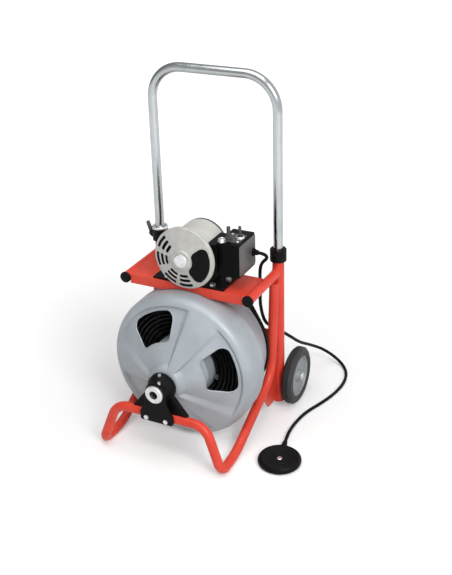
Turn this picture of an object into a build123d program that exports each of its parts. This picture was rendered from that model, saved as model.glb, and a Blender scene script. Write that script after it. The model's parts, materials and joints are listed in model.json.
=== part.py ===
import math
import os

from build123d import *

os.makedirs("parts", exist_ok=True)

# Frame sizes
tube_r = 12.7
tube_wall = 2.0
sleeve_r = 16.0
sleeve_wall = 2.4
upright_span = 356.0
upright_foot = 20.0
upright_rise = 49.0
web_t = 5.0
plate_t = 6.0

# Handle sizes
handle_rise = 475.0
handle_sink = 85.0
handle_bend = 88.0
collar_r = 22.0
collar_h = 34.0
slide_gap = 0.3

# Wheel sizes
wheel_r = 82.0
wheel_w = 30.0
wheel_gap = 16.0
rim_r = 58.0
axle_r = 6.35
axle_back = 44.0
cap_t = 4.0
run_gap = 0.05

# Drum sizes
drum_r = 205.0
drum_floor = 4.0
drum_wall = 4.0
hub_ring_r = 36.0
window_edge = 34.0
window_span = 75.0
window_half = 25.0
window_round = 16.0
window_turns = (13.5, 117.0, 246.0)
rib_turns = (67.0, 182.0, 310.0)
rib_half = 14.0
rib_h = 11.0
groove_sink = 35.0
coil_room = 117.0
cable_d = 10.0
cable_pitch = 11.2
cable_turns = 8
spindle_r = 15.0
nose_bore_r = 11.5
nose_ring_r = 24.5
rear_shaft_r = 10.0

# Motor sizes
motor_r = 67.0
bell_flange = 17.0
bell_rim_t = 6.0
motor_x = 5.0
motor_wall = 4.0
shaft_r = 8.0
pulley_r = 17.0
belt_w = 10.0
belt_t = 6.0
belt_gap = 0.4
base_web = 13.0
box_gap = 12.0

# Box, hose and pedal sizes
box_w = 62.0
box_d = 98.0
box_h = 90.0
box_wall = 3.0
hose_d = 9.0
pedal_r = 57.0
pedal_x = 286.0
pedal_out = 246.0
pedal_turn = 12.5

# Stations along the machine
front_reach = 380.0
upright_y = (front_reach - axle_back - wheel_r) / 2
side_x = upright_span / 2
drum_z = drum_r + drum_floor
nose_y = upright_y - front_reach
bracket_y = nose_y + 8.0
bracket_t = 20.0
flange_t = 7.0
crossbar_y = bracket_y + flange_t + tube_r
crossbar_z = drum_z - 75.0
rim_front_y = upright_y - 238.0
seam_y = rim_front_y + 42.0
rim_rear_y = rim_front_y + 80.0
belt_y = upright_y - 64.0
drum_back_y = belt_y + 9.0
hub_front_y = bracket_y + bracket_t + 26.0
hub_back_y = hub_front_y + 10.0
window_out = drum_r - window_edge
window_in = window_out - window_span
groove_r = drum_r - groove_sink
inner_hub_r = drum_r - coil_room
arm_z = drum_z + drum_r + 7.0
upright_top = arm_z + upright_rise
handle_top = upright_top + handle_rise
handle_foot = upright_top - handle_sink
tray_t = 3.0
tray_top = arm_z + tube_r - 2.7
tray_front_y = upright_y - 190.0
tray_back_y = belt_y - belt_w / 2 - 7.0
motor_z = tray_top + base_web + motor_r
bell_y = tray_front_y - 24.0
bell_r = motor_r + bell_flange
bell_rim_y = tray_front_y - bell_rim_t - 1.0
bell_back_y = bell_y + 32.0
motor_back_y = belt_y - belt_w / 2 - 8.0
rear_bell_y = motor_back_y - 14.0
box_x = motor_x + motor_r + box_gap
box_y = bell_back_y + 10.0
box_z = motor_z - 43.0
axle_y = upright_y + axle_back
foot_x = side_x - 2.0
foot_y = crossbar_y - 10.0
hoop_x = foot_x - 46.0


def turned(x, z):
    return Plane(origin=(x, 0, z), x_dir=(0, 1, 0), z_dir=(1, 0, 0))


def facing(y, x=0.0, z=0.0):
    return Plane(origin=(x, y, z), x_dir=(1, 0, 0), z_dir=(0, -1, 0))


drum_plane = turned(0, drum_z)
drum_axis = Axis((0, 0, drum_z), (0, 1, 0))
motor_plane = turned(motor_x, motor_z)
motor_axis = Axis((motor_x, 0, motor_z), (0, 1, 0))

# Upright sleeves
with BuildPart() as upright_right:
    with BuildSketch(Plane.XY.offset(upright_foot)):
        with Locations((side_x, upright_y)):
            Circle(sleeve_r)
            Circle(sleeve_r - sleeve_wall, mode=Mode.SUBTRACT)
    extrude(amount=upright_top - upright_foot)
upright_right.part.label = "upright_right"
export_step(upright_right.part, "parts/upright_right.step")

with BuildPart() as upright_left:
    mirror(upright_right.part, about=Plane.YZ)
upright_left.part.label = "upright_left"
export_step(upright_left.part, "parts/upright_left.step")

# Bent leg tubes that meet in the front crossbar
leg_points = [
    (side_x, upright_y - sleeve_r - tube_r, arm_z - 23.0),
    (side_x - 3.0, upright_y - 42.0, 125.0),
    (foot_x - 3.0, upright_y - 272.0, tube_r),
    (foot_x, foot_y, tube_r),
    (hoop_x, crossbar_y, crossbar_z),
    (0, crossbar_y, crossbar_z),
]
with BuildLine() as leg_path:
    FilletPolyline(*leg_points, radius=[90.0, 150.0, 26.0, 50.0])
bolt_x = 28.0
bolt_r = 4.0
with BuildPart() as leg_tube_right:
    with BuildSketch(Plane(leg_path.line @ 0, z_dir=leg_path.line % 0)):
        Circle(tube_r)
        Circle(tube_r - tube_wall, mode=Mode.SUBTRACT)
    sweep(path=leg_path.line)
    with BuildSketch(Plane(leg_path.line @ 0, z_dir=leg_path.line % 0)):
        Circle(tube_r)
    extrude(amount=tube_wall)
    with BuildSketch(facing(crossbar_y, bolt_x, crossbar_z)):
        Circle(bolt_r)
    extrude(amount=tube_r + 1.0, mode=Mode.SUBTRACT)
leg_tube_right.part.label = "leg_tube_right"
export_step(leg_tube_right.part, "parts/leg_tube_right.step")

with BuildPart() as leg_tube_left:
    mirror(leg_tube_right.part, about=Plane.YZ)
leg_tube_left.part.label = "leg_tube_left"
export_step(leg_tube_left.part, "parts/leg_tube_left.step")

# Gusset webs between the legs and the uprights
web_x = side_x - 3.0 - web_t / 2
with BuildPart() as gusset_right:
    with BuildSketch(turned(web_x, 0)):
        with BuildLine():
            Polyline(
                (upright_y - 10.0, 33.0),
                (upright_y - 68.0, 33.0),
                (upright_y - 106.0, 88.0),
                (upright_y - 42.0, 122.0),
                (upright_y - 10.0, 122.0),
                close=True,
            )
        make_face()
    extrude(amount=web_t)
    with BuildSketch(Plane(leg_path.line @ 0, z_dir=leg_path.line % 0)):
        Circle(tube_r)
    sweep(path=leg_path.line, mode=Mode.SUBTRACT)
    with Locations((side_x, upright_y, upright_top / 2)):
        Cylinder(sleeve_r, upright_top, mode=Mode.SUBTRACT)
gusset_right.part.label = "gusset_right"
export_step(gusset_right.part, "parts/gusset_right.step")

with BuildPart() as gusset_left:
    mirror(gusset_right.part, about=Plane.YZ)
gusset_left.part.label = "gusset_left"
export_step(gusset_left.part, "parts/gusset_left.step")

# Tray arms and their end caps
with BuildPart() as arm_right:
    with BuildSketch(facing(upright_y, side_x, arm_z)):
        Circle(tube_r)
        Circle(tube_r - tube_wall, mode=Mode.SUBTRACT)
    extrude(amount=upright_y - tray_front_y)
    with Locations((side_x, upright_y, arm_z)):
        Cylinder(sleeve_r, 4 * tube_r, mode=Mode.SUBTRACT)
arm_right.part.label = "arm_right"
export_step(arm_right.part, "parts/arm_right.step")

with BuildPart() as arm_left:
    mirror(arm_right.part, about=Plane.YZ)
arm_left.part.label = "arm_left"
export_step(arm_left.part, "parts/arm_left.step")

end_cap_t = 7.0
with BuildPart() as arm_caps:
    with BuildSketch(facing(tray_front_y, 0, arm_z)):
        with Locations((-side_x, 0), (side_x, 0)):
            Circle(tube_r + 2.3)
    extrude(amount=end_cap_t)
    fillet(arm_caps.faces().group_by(Axis.Y)[0].edges(), 3.0)
arm_caps.part.label = "arm_caps"
export_step(arm_caps.part, "parts/arm_caps.step")

# Motor tray with its front lip, arched over the drum
tray_sink = tray_top - tray_t - arm_z
tray_half = side_x - math.sqrt(tube_r ** 2 - tray_sink ** 2)
lip_half = side_x - tube_r - 1.0
lip_gap = 3.0
lip_foot = drum_z + drum_r - 8.0
lip_top = tray_top + 1.0
with BuildPart() as motor_tray:
    with BuildSketch(Plane.XY.offset(tray_top - tray_t)):
        with Locations((0, (tray_front_y + tray_back_y) / 2)):
            Rectangle(2 * tray_half, tray_back_y - tray_front_y)
    extrude(amount=tray_t)
    with BuildSketch(facing(tray_front_y + tray_t)):
        with Locations((0, lip_foot)):
            Rectangle(2 * lip_half, lip_top - lip_foot, align=(Align.CENTER, Align.MIN))
        with Locations((0, drum_z)):
            Circle(drum_r + lip_gap, mode=Mode.SUBTRACT)
    extrude(amount=tray_t)
motor_tray.part.label = "motor_tray"
export_step(motor_tray.part, "parts/motor_tray.step")

# Rear cross plate and the drum's rear bearing block
block_w = 76.0
block_t = 19.0
rear_bolt_x = 27.0
with BuildPart() as rear_cross_plate:
    with BuildSketch(facing(upright_y + plate_t / 2, 0, drum_z)):
        Rectangle(upright_span - 2.0 * sleeve_r + 8.0, 56.0)
        Circle(rear_shaft_r + 2.0, mode=Mode.SUBTRACT)
        with Locations((-rear_bolt_x, 0), (rear_bolt_x, 0)):
            Circle(bolt_r, mode=Mode.SUBTRACT)
    extrude(amount=plate_t)
    with Locations((-side_x, upright_y, drum_z), (side_x, upright_y, drum_z)):
        Cylinder(sleeve_r, 80.0, mode=Mode.SUBTRACT)
rear_cross_plate.part.label = "rear_cross_plate"
export_step(rear_cross_plate.part, "parts/rear_cross_plate.step")

block_y = upright_y - plate_t / 2
with BuildPart() as rear_bearing_block:
    with BuildSketch(facing(block_y, 0, drum_z)):
        RectangleRounded(block_w, 50.0, 8.0)
        Circle(rear_shaft_r + run_gap, mode=Mode.SUBTRACT)
        with Locations((-rear_bolt_x, 0), (rear_bolt_x, 0)):
            Circle(bolt_r, mode=Mode.SUBTRACT)
    extrude(amount=block_t)
rear_bearing_block.part.label = "rear_bearing_block"
export_step(rear_bearing_block.part, "parts/rear_bearing_block.step")

# Axle with its brackets and caps
bracket_in_x = side_x - plate_t / 2
with BuildPart() as axle_brackets:
    with BuildSketch(turned(bracket_in_x, wheel_r)):
        with BuildLine():
            Polyline(
                (upright_y + 8.0, 36.0),
                (upright_y + 8.0, -28.0),
                (axle_y, -18.0),
                (axle_y + 17.0, 0),
                (axle_y, 18.0),
                close=True,
            )
        make_face()
        with Locations((axle_y, 0)):
            Circle(axle_r, mode=Mode.SUBTRACT)
    extrude(amount=plate_t)
    with Locations((side_x, upright_y, wheel_r)):
        Cylinder(sleeve_r, 160.0, mode=Mode.SUBTRACT)
    mirror(about=Plane.YZ)
axle_brackets.part.label = "axle_brackets"
export_step(axle_brackets.part, "parts/axle_brackets.step")

wheel_in = side_x + plate_t / 2 + wheel_gap
wheel_out = wheel_in + wheel_w
axle_half = wheel_out + 1.0
with BuildPart() as axle:
    with BuildSketch(turned(-axle_half, wheel_r)):
        with Locations((axle_y, 0)):
            Circle(axle_r)
    extrude(amount=2 * axle_half)
axle.part.label = "axle"
export_step(axle.part, "parts/axle.step")

with BuildPart() as axle_caps:
    with BuildSketch(turned(axle_half, wheel_r)):
        with Locations((axle_y, 0)):
            Circle(11.0)
    extrude(amount=cap_t)
    fillet(axle_caps.faces().group_by(Axis.X)[-1].edges(), 2.0)
    mirror(about=Plane.YZ)
axle_caps.part.label = "axle_caps"
export_step(axle_caps.part, "parts/axle_caps.step")

# Wheels: a rubber tyre on a recessed hub
wheel_plane = Plane(origin=(0, axle_y, wheel_r), x_dir=(1, 0, 0), z_dir=(0, -1, 0))
wheel_axis = Axis((0, axle_y, wheel_r), (1, 0, 0))
wheel_mid = (wheel_in + wheel_out) / 2
with BuildPart() as wheel_hub_right:
    with BuildSketch(wheel_plane):
        with BuildLine():
            Polyline(
                (side_x + plate_t / 2 + 0.5, axle_r + run_gap),
                (wheel_out + 0.5, axle_r + run_gap),
                (wheel_out + 0.5, axle_r + 9.0),
                (wheel_mid + 6.0, axle_r + 13.0),
                (wheel_mid + 6.0, rim_r - 7.0),
                (wheel_out - 3.0, rim_r - 4.0),
                (wheel_out - 3.0, rim_r),
                (wheel_in + 3.0, rim_r),
                (wheel_in + 3.0, rim_r - 4.0),
                (wheel_mid, rim_r - 7.0),
                (wheel_mid, axle_r + 13.0),
                (side_x + plate_t / 2 + 0.5, axle_r + 6.0),
                close=True,
            )
        make_face()
    revolve(axis=wheel_axis)
wheel_hub_right.part.label = "wheel_hub_right"
export_step(wheel_hub_right.part, "parts/wheel_hub_right.step")

with BuildPart() as wheel_hub_left:
    mirror(wheel_hub_right.part, about=Plane.YZ)
wheel_hub_left.part.label = "wheel_hub_left"
export_step(wheel_hub_left.part, "parts/wheel_hub_left.step")

with BuildPart() as tyre_right:
    with BuildSketch(wheel_plane):
        with BuildLine():
            Polyline(
                (wheel_in, rim_r),
                (wheel_out, rim_r),
                (wheel_out, wheel_r - 11.0),
                (wheel_out - 8.0, wheel_r),
                (wheel_in + 8.0, wheel_r),
                (wheel_in, wheel_r - 11.0),
                close=True,
            )
        make_face()
    revolve(axis=wheel_axis)
    fillet(tyre_right.edges().filter_by(GeomType.CIRCLE).filter_by(lambda e: e.radius > rim_r + 1.0), 5.0)
tyre_right.part.label = "tyre_right"
export_step(tyre_right.part, "parts/tyre_right.step")

with BuildPart() as tyre_left:
    mirror(tyre_right.part, about=Plane.YZ)
tyre_left.part.label = "tyre_left"
export_step(tyre_left.part, "parts/tyre_left.step")

# Sliding U handle
with BuildLine() as handle_path:
    FilletPolyline(
        (-side_x, upright_y, handle_foot),
        (-side_x, upright_y, handle_top),
        (side_x, upright_y, handle_top),
        (side_x, upright_y, handle_foot),
        radius=handle_bend,
    )
with BuildPart() as handle:
    with BuildSketch(Plane(handle_path.line @ 0, z_dir=(0, 0, 1))):
        Circle(tube_r)
        Circle(tube_r - tube_wall, mode=Mode.SUBTRACT)
    sweep(path=handle_path.line)
handle.part.label = "handle"
export_step(handle.part, "parts/handle.step")

# Handle collars on the sleeve tops
collar_z = upright_top - collar_h / 2
notch_w = 9.0
notch_h = 10.0
with BuildPart() as collar_right:
    with BuildSketch(Plane.XY.offset(collar_z)):
        with Locations((side_x, upright_y)):
            Circle(collar_r)
            Circle(sleeve_r, mode=Mode.SUBTRACT)
    extrude(amount=collar_h / 2)
    with BuildSketch(Plane.XY.offset(upright_top)):
        with Locations((side_x, upright_y)):
            Circle(collar_r)
            Circle(tube_r + slide_gap, mode=Mode.SUBTRACT)
    extrude(amount=collar_h / 2)
    chamfer(collar_right.faces().sort_by(Axis.Z)[-1].outer_wire().edges(), 2.0)
    with Locations((side_x, upright_y - collar_r, upright_top + collar_h / 2)):
        Box(notch_w, 2 * (collar_r - tube_r), 2 * notch_h, mode=Mode.SUBTRACT)
collar_right.part.label = "collar_right"
export_step(collar_right.part, "parts/collar_right.step")

# Left collar with lugs for the clamp lever
cam_r = 5.0
pin_x = -side_x - collar_r - cam_r - 1.0
pin_r = 2.5
lever_half = 5.0
lug_t = 4.0
with BuildPart() as collar_left:
    mirror(collar_right.part, about=Plane.YZ)
    with BuildSketch(facing(upright_y - lever_half, 0, upright_top)):
        with BuildLine():
            Polyline(
                (-side_x - collar_r + 4.0, 9.0),
                (-side_x - collar_r + 4.0, -12.0),
                (pin_x, -7.0),
                (pin_x - 5.0, 0),
                (pin_x, 7.0),
                close=True,
            )
        make_face()
        with Locations((pin_x, 0)):
            Circle(pin_r + run_gap, mode=Mode.SUBTRACT)
    extrude(amount=lug_t)
    mirror(collar_left.solids()[0], about=Plane.XZ.offset(-upright_y))
    with Locations((-side_x, upright_y, upright_top)):
        Cylinder(tube_r + slide_gap, 2 * collar_h, mode=Mode.SUBTRACT)
    with Locations((-side_x, upright_y, upright_top - collar_h / 2)):
        Cylinder(sleeve_r, collar_h, mode=Mode.SUBTRACT)
collar_left.part.label = "collar_left"
export_step(collar_left.part, "parts/collar_left.step")

lever_len = 33.0
lever_tilt = 20.0
lever_plane = Plane(
    origin=(pin_x, upright_y + lever_half - slide_gap, upright_top),
    x_dir=(-math.sin(math.radians(lever_tilt)), 0, math.cos(math.radians(lever_tilt))),
    z_dir=(0, -1, 0),
)
with BuildPart() as clamp_lever:
    with BuildSketch(lever_plane):
        Circle(cam_r)
        with BuildLine():
            Polyline((0, -cam_r + 1.0), (0, cam_r - 1.0), (lever_len, 3.0), (lever_len, -3.0), close=True)
        make_face()
    extrude(amount=2 * (lever_half - slide_gap))
    fillet(clamp_lever.edges().filter_by(Axis.Y).group_by(Axis.Z)[-1], 1.5)
    with BuildSketch(facing(upright_y + lever_half + lug_t + 1.0, pin_x, upright_top)):
        Circle(pin_r)
    extrude(amount=2 * (lever_half + lug_t + 1.0))
clamp_lever.part.label = "clamp_lever"
export_step(clamp_lever.part, "parts/clamp_lever.step")

# Front bearing bracket: a tapered barrel on a flange, with webs on the crossbar
barrel_r = 38.0
barrel_nose_r = 29.0
bearing_r = 24.0
flange_half = 47.0
flange_up = 14.0
flange_down = 11.0
web_half = 78.0
bar_drop = crossbar_z - drum_z
barrel_back_y = hub_front_y - 4.0
with BuildPart() as barrel:
    with BuildSketch(drum_plane):
        with BuildLine():
            Polyline(
                (bracket_y, 0),
                (bracket_y, barrel_nose_r - 2.0),
                (bracket_y + 2.0, barrel_nose_r),
                (bracket_y + 12.0, barrel_nose_r + 1.0),
                (barrel_back_y - 12.0, barrel_r),
                (barrel_back_y, barrel_r),
                (barrel_back_y, 0),
                close=True,
            )
        make_face()
    revolve(axis=drum_axis)
with BuildPart() as front_bracket:
    add(barrel.part)
    with BuildSketch(facing(bracket_y + flange_t, 0, drum_z)):
        with BuildLine():
            Polyline(
                (-barrel_nose_r + 1.0, 0),
                (-barrel_nose_r - 2.0, bar_drop + 42.0),
                (-flange_half, bar_drop + flange_up),
                (-flange_half, bar_drop - flange_down),
                (flange_half, bar_drop - flange_down),
                (flange_half, bar_drop + flange_up),
                (barrel_nose_r + 2.0, bar_drop + 42.0),
                (barrel_nose_r - 1.0, 0),
                close=True,
            )
        make_face()
    extrude(amount=flange_t)
    fillet(front_bracket.edges().filter_by(Axis.Y).group_by(Axis.Z)[0], 6.0)
    with BuildSketch(facing(crossbar_y + tube_r - 2.0, 0, drum_z)):
        with BuildLine():
            Polyline(
                (-barrel_r + 3.0, -8.0),
                (-web_half, bar_drop + tube_r + 1.0),
                (-web_half, bar_drop),
                (web_half, bar_drop),
                (web_half, bar_drop + tube_r + 1.0),
                (barrel_r - 3.0, -8.0),
                close=True,
            )
        make_face()
    extrude(amount=tube_r)
    with BuildSketch(turned(-web_half - 1.0, crossbar_z)):
        with Locations((crossbar_y, 0)):
            Circle(tube_r)
    extrude(amount=2 * web_half + 2.0, mode=Mode.SUBTRACT)
    with BuildSketch(turned(-web_half - 1.0, crossbar_z)):
        with Locations((crossbar_y + tube_r, -tube_r)):
            Rectangle(2 * tube_r, 2 * tube_r)
    extrude(amount=2 * web_half + 2.0, mode=Mode.SUBTRACT)
    with BuildSketch(facing(barrel_back_y, 0, drum_z)):
        Circle(bearing_r)
    extrude(amount=barrel_back_y - bracket_y - 6.0, mode=Mode.SUBTRACT)
    with BuildSketch(facing(bracket_y + bracket_t, 0, drum_z)):
        Circle(spindle_r + 2.0)
        with Locations((-bolt_x, bar_drop), (bolt_x, bar_drop)):
            Circle(bolt_r)
    extrude(amount=bracket_t, mode=Mode.SUBTRACT)
front_bracket.part.label = "front_bracket"
export_step(front_bracket.part, "parts/front_bracket.step")

with BuildPart() as front_bearing:
    with BuildSketch(facing(bracket_y + 30.0, 0, drum_z)):
        Circle(bearing_r)
        Circle(spindle_r + run_gap, mode=Mode.SUBTRACT)
    extrude(amount=24.0)
front_bearing.part.label = "front_bearing"
export_step(front_bearing.part, "parts/front_bearing.step")

with BuildPart() as bearing_bolts:
    with BuildSketch(facing(bracket_y, 0, crossbar_z)):
        with Locations((-bolt_x, 0), (bolt_x, 0)):
            RegularPolygon(7.0, 6)
    extrude(amount=5.0)
    with BuildSketch(facing(crossbar_y - tube_r + tube_wall + 3.0, 0, crossbar_z)):
        with Locations((-bolt_x, 0), (bolt_x, 0)):
            Circle(bolt_r)
    extrude(amount=flange_t + tube_wall + 3.0)
    with BuildSketch(facing(block_y - block_t, 0, drum_z)):
        with Locations((-rear_bolt_x, 0), (rear_bolt_x, 0)):
            RegularPolygon(6.5, 6)
    extrude(amount=5.0)
    with BuildSketch(facing(upright_y + plate_t / 2, 0, drum_z)):
        with Locations((-rear_bolt_x, 0), (rear_bolt_x, 0)):
            Circle(bolt_r)
    extrude(amount=plate_t + block_t)
bearing_bolts.part.label = "bearing_bolts"
export_step(bearing_bolts.part, "parts/bearing_bolts.step")

screw_h = 4.0
with BuildPart() as grease_screw:
    with BuildSketch(Plane.XY.offset(drum_z + barrel_nose_r - 8.0)):
        with Locations((10.0, bracket_y + 7.0)):
            RegularPolygon(4.0, 6)
    extrude(amount=8.0 + screw_h)
    with BuildSketch(Plane.XY.offset(drum_z + barrel_r - 8.0)):
        with Locations((0, barrel_back_y - 14.0)):
            RegularPolygon(4.5, 6)
    extrude(amount=8.0 + screw_h)
    add(barrel.part, mode=Mode.SUBTRACT)
grease_screw.part.label = "grease_screw"
export_step(grease_screw.part, "parts/grease_screw.step")

# Drum front shell: cone with three windows and raised wedge ribs
cone_in_r = hub_ring_r
cone_out_r = drum_r - 9.0
panel_r = cone_out_r - 7.0
panel_y = rim_front_y + rib_h - 2.0
with BuildSketch() as window_outline:
    with BuildLine():
        in_arc = CenterArc((0, 0), window_in, -window_half, 2 * window_half)
        out_arc = CenterArc((0, 0), window_out, -window_half, 2 * window_half)
        Line(in_arc @ 0, out_arc @ 0)
        Line(in_arc @ 1, out_arc @ 1)
    make_face()
    fillet(window_outline.vertices(), window_round)
with BuildPart() as drum_front:
    with BuildSketch(drum_plane):
        with BuildLine():
            Polyline(
                (seam_y, drum_r),
                (rim_front_y + 9.0, drum_r),
                (rim_front_y + 2.5, drum_r - 2.5),
                (rim_front_y, cone_out_r),
                (rim_front_y - 2.0, panel_r + 1.0),
                (panel_y, panel_r),
                (hub_back_y, cone_in_r),
                (hub_front_y, cone_in_r),
                (hub_front_y, spindle_r),
                (hub_back_y + drum_wall, spindle_r),
                (hub_back_y + drum_wall, cone_in_r - 2.0),
                (panel_y + drum_wall, panel_r - 2.0),
                (panel_y + drum_wall + 4.0, drum_r - drum_wall),
                (seam_y, drum_r - drum_wall),
                close=True,
            )
        make_face()
    revolve(axis=drum_axis)
    for rib_turn in rib_turns:
        with BuildSketch(drum_plane) as rib_profile:
            with BuildLine():
                Polyline(
                    (panel_y + 1.0, panel_r + 0.5),
                    (hub_back_y + 1.0, cone_in_r + 2.0),
                    (hub_back_y - rib_h + 1.0, cone_in_r + 2.0),
                    (panel_y - rib_h, panel_r + 0.5),
                    close=True,
                )
            make_face()
        revolve(
            rib_profile.sketch.rotate(drum_axis, 90.0 - rib_turn - rib_half),
            axis=drum_axis,
            revolution_arc=2 * rib_half,
        )
    for window_turn in window_turns:
        with BuildSketch(facing(hub_back_y, 0, drum_z)):
            with PolarLocations(0, 1, start_angle=window_turn):
                add(window_outline.sketch)
        extrude(amount=-(rim_front_y - hub_back_y + 20.0), mode=Mode.SUBTRACT)
drum_front.part.label = "drum_front"
export_step(drum_front.part, "parts/drum_front.step")

# Drum rear shell with the belt groove
flange_r = groove_r + 2.5
groove_half = belt_w / 2 + 1.0
with BuildPart() as drum_rear:
    with BuildSketch(drum_plane):
        with BuildLine():
            Polyline(
                (seam_y, drum_r),
                (rim_rear_y, drum_r),
                (rim_rear_y + 8.0, drum_r - 5.0),
                (belt_y - groove_half - 6.0, flange_r),
                (belt_y - groove_half, flange_r),
                (belt_y - groove_half, groove_r),
                (belt_y + groove_half, groove_r),
                (belt_y + groove_half, flange_r),
                (drum_back_y, flange_r),
                (drum_back_y, rear_shaft_r),
                (drum_back_y - 5.0, rear_shaft_r),
                (drum_back_y - 5.0, groove_r - 5.0),
                (belt_y - groove_half - 9.0, groove_r - 3.0),
                (rim_rear_y + 5.0, drum_r - 9.5),
                (rim_rear_y - 2.0, drum_r - drum_wall),
                (seam_y, drum_r - drum_wall),
                close=True,
            )
        make_face()
    revolve(axis=drum_axis)
drum_rear.part.label = "drum_rear"
export_step(drum_rear.part, "parts/drum_rear.step")

# Inner hub seen through the windows
hub_face_y = rim_front_y - 18.0
with BuildPart() as inner_hub:
    with BuildSketch(drum_plane):
        with BuildLine():
            Polyline(
                (drum_back_y - 5.0, inner_hub_r),
                (hub_face_y + 8.0, inner_hub_r),
                (hub_face_y, inner_hub_r - 8.0),
                (hub_face_y, 0),
                (hub_face_y + 4.0, 0),
                (hub_face_y + 4.0, inner_hub_r - 10.0),
                (hub_face_y + 10.0, inner_hub_r - 4.0),
                (drum_back_y - 5.0, inner_hub_r - 4.0),
                close=True,
            )
        make_face()
    revolve(axis=drum_axis)
inner_hub.part.label = "inner_hub"
export_step(inner_hub.part, "parts/inner_hub.step")

# Cable coiled flat in front of a plain core
cable_first = inner_hub_r + 11.0
coil_y = rim_front_y + 26.0
core_front_y = coil_y + cable_d / 2 + 0.3
coil_plane = facing(coil_y, 0, drum_z)
cable_end_x = cable_first + cable_pitch * (cable_turns - 0.25)
with BuildLine(coil_plane) as cable_path:
    Line((cable_first - cable_pitch / 4, -cable_d), (cable_first - cable_pitch / 4, 0))
    for half in range(2 * cable_turns):
        side = 1 if half % 2 == 0 else -1
        centre = -side * cable_pitch / 4
        reach = cable_first + half * cable_pitch / 2
        ThreePointArc((centre + side * reach, 0), (centre, side * reach), (centre - side * reach, 0))
    Line((cable_end_x, 0), (cable_end_x, cable_d))
with BuildPart() as drain_cable:
    with BuildSketch(Plane(cable_path.line @ 0, z_dir=cable_path.line % 0)):
        Circle(cable_d / 2)
    sweep(path=cable_path.line)
drain_cable.part.label = "drain_cable"
export_step(drain_cable.part, "parts/drain_cable.step")
turn_points = [cable_path.line @ (k / 1600) for k in range(1601)]
self_gap = 1000.0
for k in range(0, 1601, 4):
    for m in range(k + 60, 1601):
        self_gap = min(self_gap, (turn_points[k] - turn_points[m]).length - cable_d)
print("cable self gap", round(self_gap, 2), "volume ratio",
      round(drain_cable.part.volume / (math.pi * cable_d ** 2 / 4 * cable_path.wire().length), 3))

with BuildPart() as cable_core:
    with BuildSketch(drum_plane):
        with BuildLine():
            Polyline(
                (core_front_y, inner_hub_r),
                (core_front_y, drum_r - drum_wall - 2.0),
                (rim_rear_y - 4.0, drum_r - drum_wall - 2.0),
                (rim_rear_y - 4.0, inner_hub_r),
                close=True,
            )
        make_face()
    revolve(axis=drum_axis)
cable_core.part.label = "cable_core"
export_step(cable_core.part, "parts/cable_core.step")

with BuildPart() as cable_anchors:
    with BuildSketch(facing(core_front_y, 0, drum_z)):
        with Locations((cable_first - cable_pitch / 4 - 1.5, -cable_d - 6.0)):
            Rectangle(cable_d, 12.0)
        with Locations((cable_end_x + 1.5, cable_d + 6.0)):
            Rectangle(cable_d, 12.0)
    extrude(amount=cable_d + 1.0)
cable_anchors.part.label = "cable_anchors"
export_step(cable_anchors.part, "parts/cable_anchors.step")

# Nose spindle, nose ring and rear spindle
with BuildPart() as nose_spindle:
    with BuildSketch(drum_plane):
        with BuildLine():
            Polyline(
                (nose_y + 4.0, nose_bore_r),
                (nose_y + 4.0, spindle_r),
                (hub_back_y + drum_wall, spindle_r),
                (hub_back_y + drum_wall, nose_bore_r),
                close=True,
            )
        make_face()
    revolve(axis=drum_axis)
nose_spindle.part.label = "nose_spindle"
export_step(nose_spindle.part, "parts/nose_spindle.step")

with BuildPart() as nose_ring:
    with BuildSketch(drum_plane):
        with BuildLine():
            Polyline(
                (nose_y, nose_bore_r),
                (nose_y, nose_ring_r - 2.0),
                (nose_y + 2.0, nose_ring_r),
                (bracket_y - 0.6, nose_ring_r),
                (bracket_y - 0.6, spindle_r),
                (nose_y + 4.0, spindle_r),
                (nose_y + 4.0, nose_bore_r),
                close=True,
            )
        make_face()
    revolve(axis=drum_axis)
nose_ring.part.label = "nose_ring"
export_step(nose_ring.part, "parts/nose_ring.step")

with BuildPart() as rear_spindle:
    with BuildSketch(drum_plane):
        with BuildLine():
            Polyline(
                (drum_back_y - 13.0, 0),
                (drum_back_y - 13.0, 34.0),
                (drum_back_y - 5.0, 34.0),
                (drum_back_y - 5.0, rear_shaft_r),
                (upright_y + plate_t, rear_shaft_r),
                (upright_y + plate_t, 0),
                close=True,
            )
        make_face()
    revolve(axis=drum_axis)
rear_spindle.part.label = "rear_spindle"
export_step(rear_spindle.part, "parts/rear_spindle.step")

# Motor base on the tray, with its bolts
base_front_y = tray_front_y + tray_t + 2.0
base_back_y = rear_bell_y - 6.0
base_half = 102.0
base_flange_t = 5.0
riser_half = 46.0
riser_h = base_web + 16.0
with BuildPart() as motor_base:
    with BuildSketch(facing(base_back_y, motor_x, tray_top)):
        with BuildLine():
            Polyline(
                (-base_half, 0),
                (base_half, 0),
                (base_half, base_flange_t),
                (riser_half + 9.0, base_flange_t),
                (riser_half, riser_h),
                (-riser_half, riser_h),
                (-riser_half - 9.0, base_flange_t),
                (-base_half, base_flange_t),
                close=True,
            )
        make_face()
        with Locations((0, base_web + motor_r)):
            Circle(motor_r, mode=Mode.SUBTRACT)
    extrude(amount=base_back_y - base_front_y)
motor_base.part.label = "motor_base"
export_step(motor_base.part, "parts/motor_base.step")

front_bolt_x = riser_half + 20.0
back_bolt_x = base_half - 11.0
front_bolt_y = base_front_y + 11.0
back_bolt_y = base_back_y - 34.0
with BuildPart() as motor_bolts:
    with BuildSketch(Plane.XY.offset(tray_top + base_flange_t)):
        with Locations((motor_x - front_bolt_x, front_bolt_y), (motor_x + front_bolt_x, front_bolt_y)):
            RegularPolygon(8.0, 6)
        with Locations((motor_x - back_bolt_x, back_bolt_y), (motor_x + back_bolt_x, back_bolt_y)):
            RegularPolygon(8.0, 6)
    extrude(amount=6.0)
motor_bolts.part.label = "motor_bolts"
export_step(motor_bolts.part, "parts/motor_bolts.step")

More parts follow.
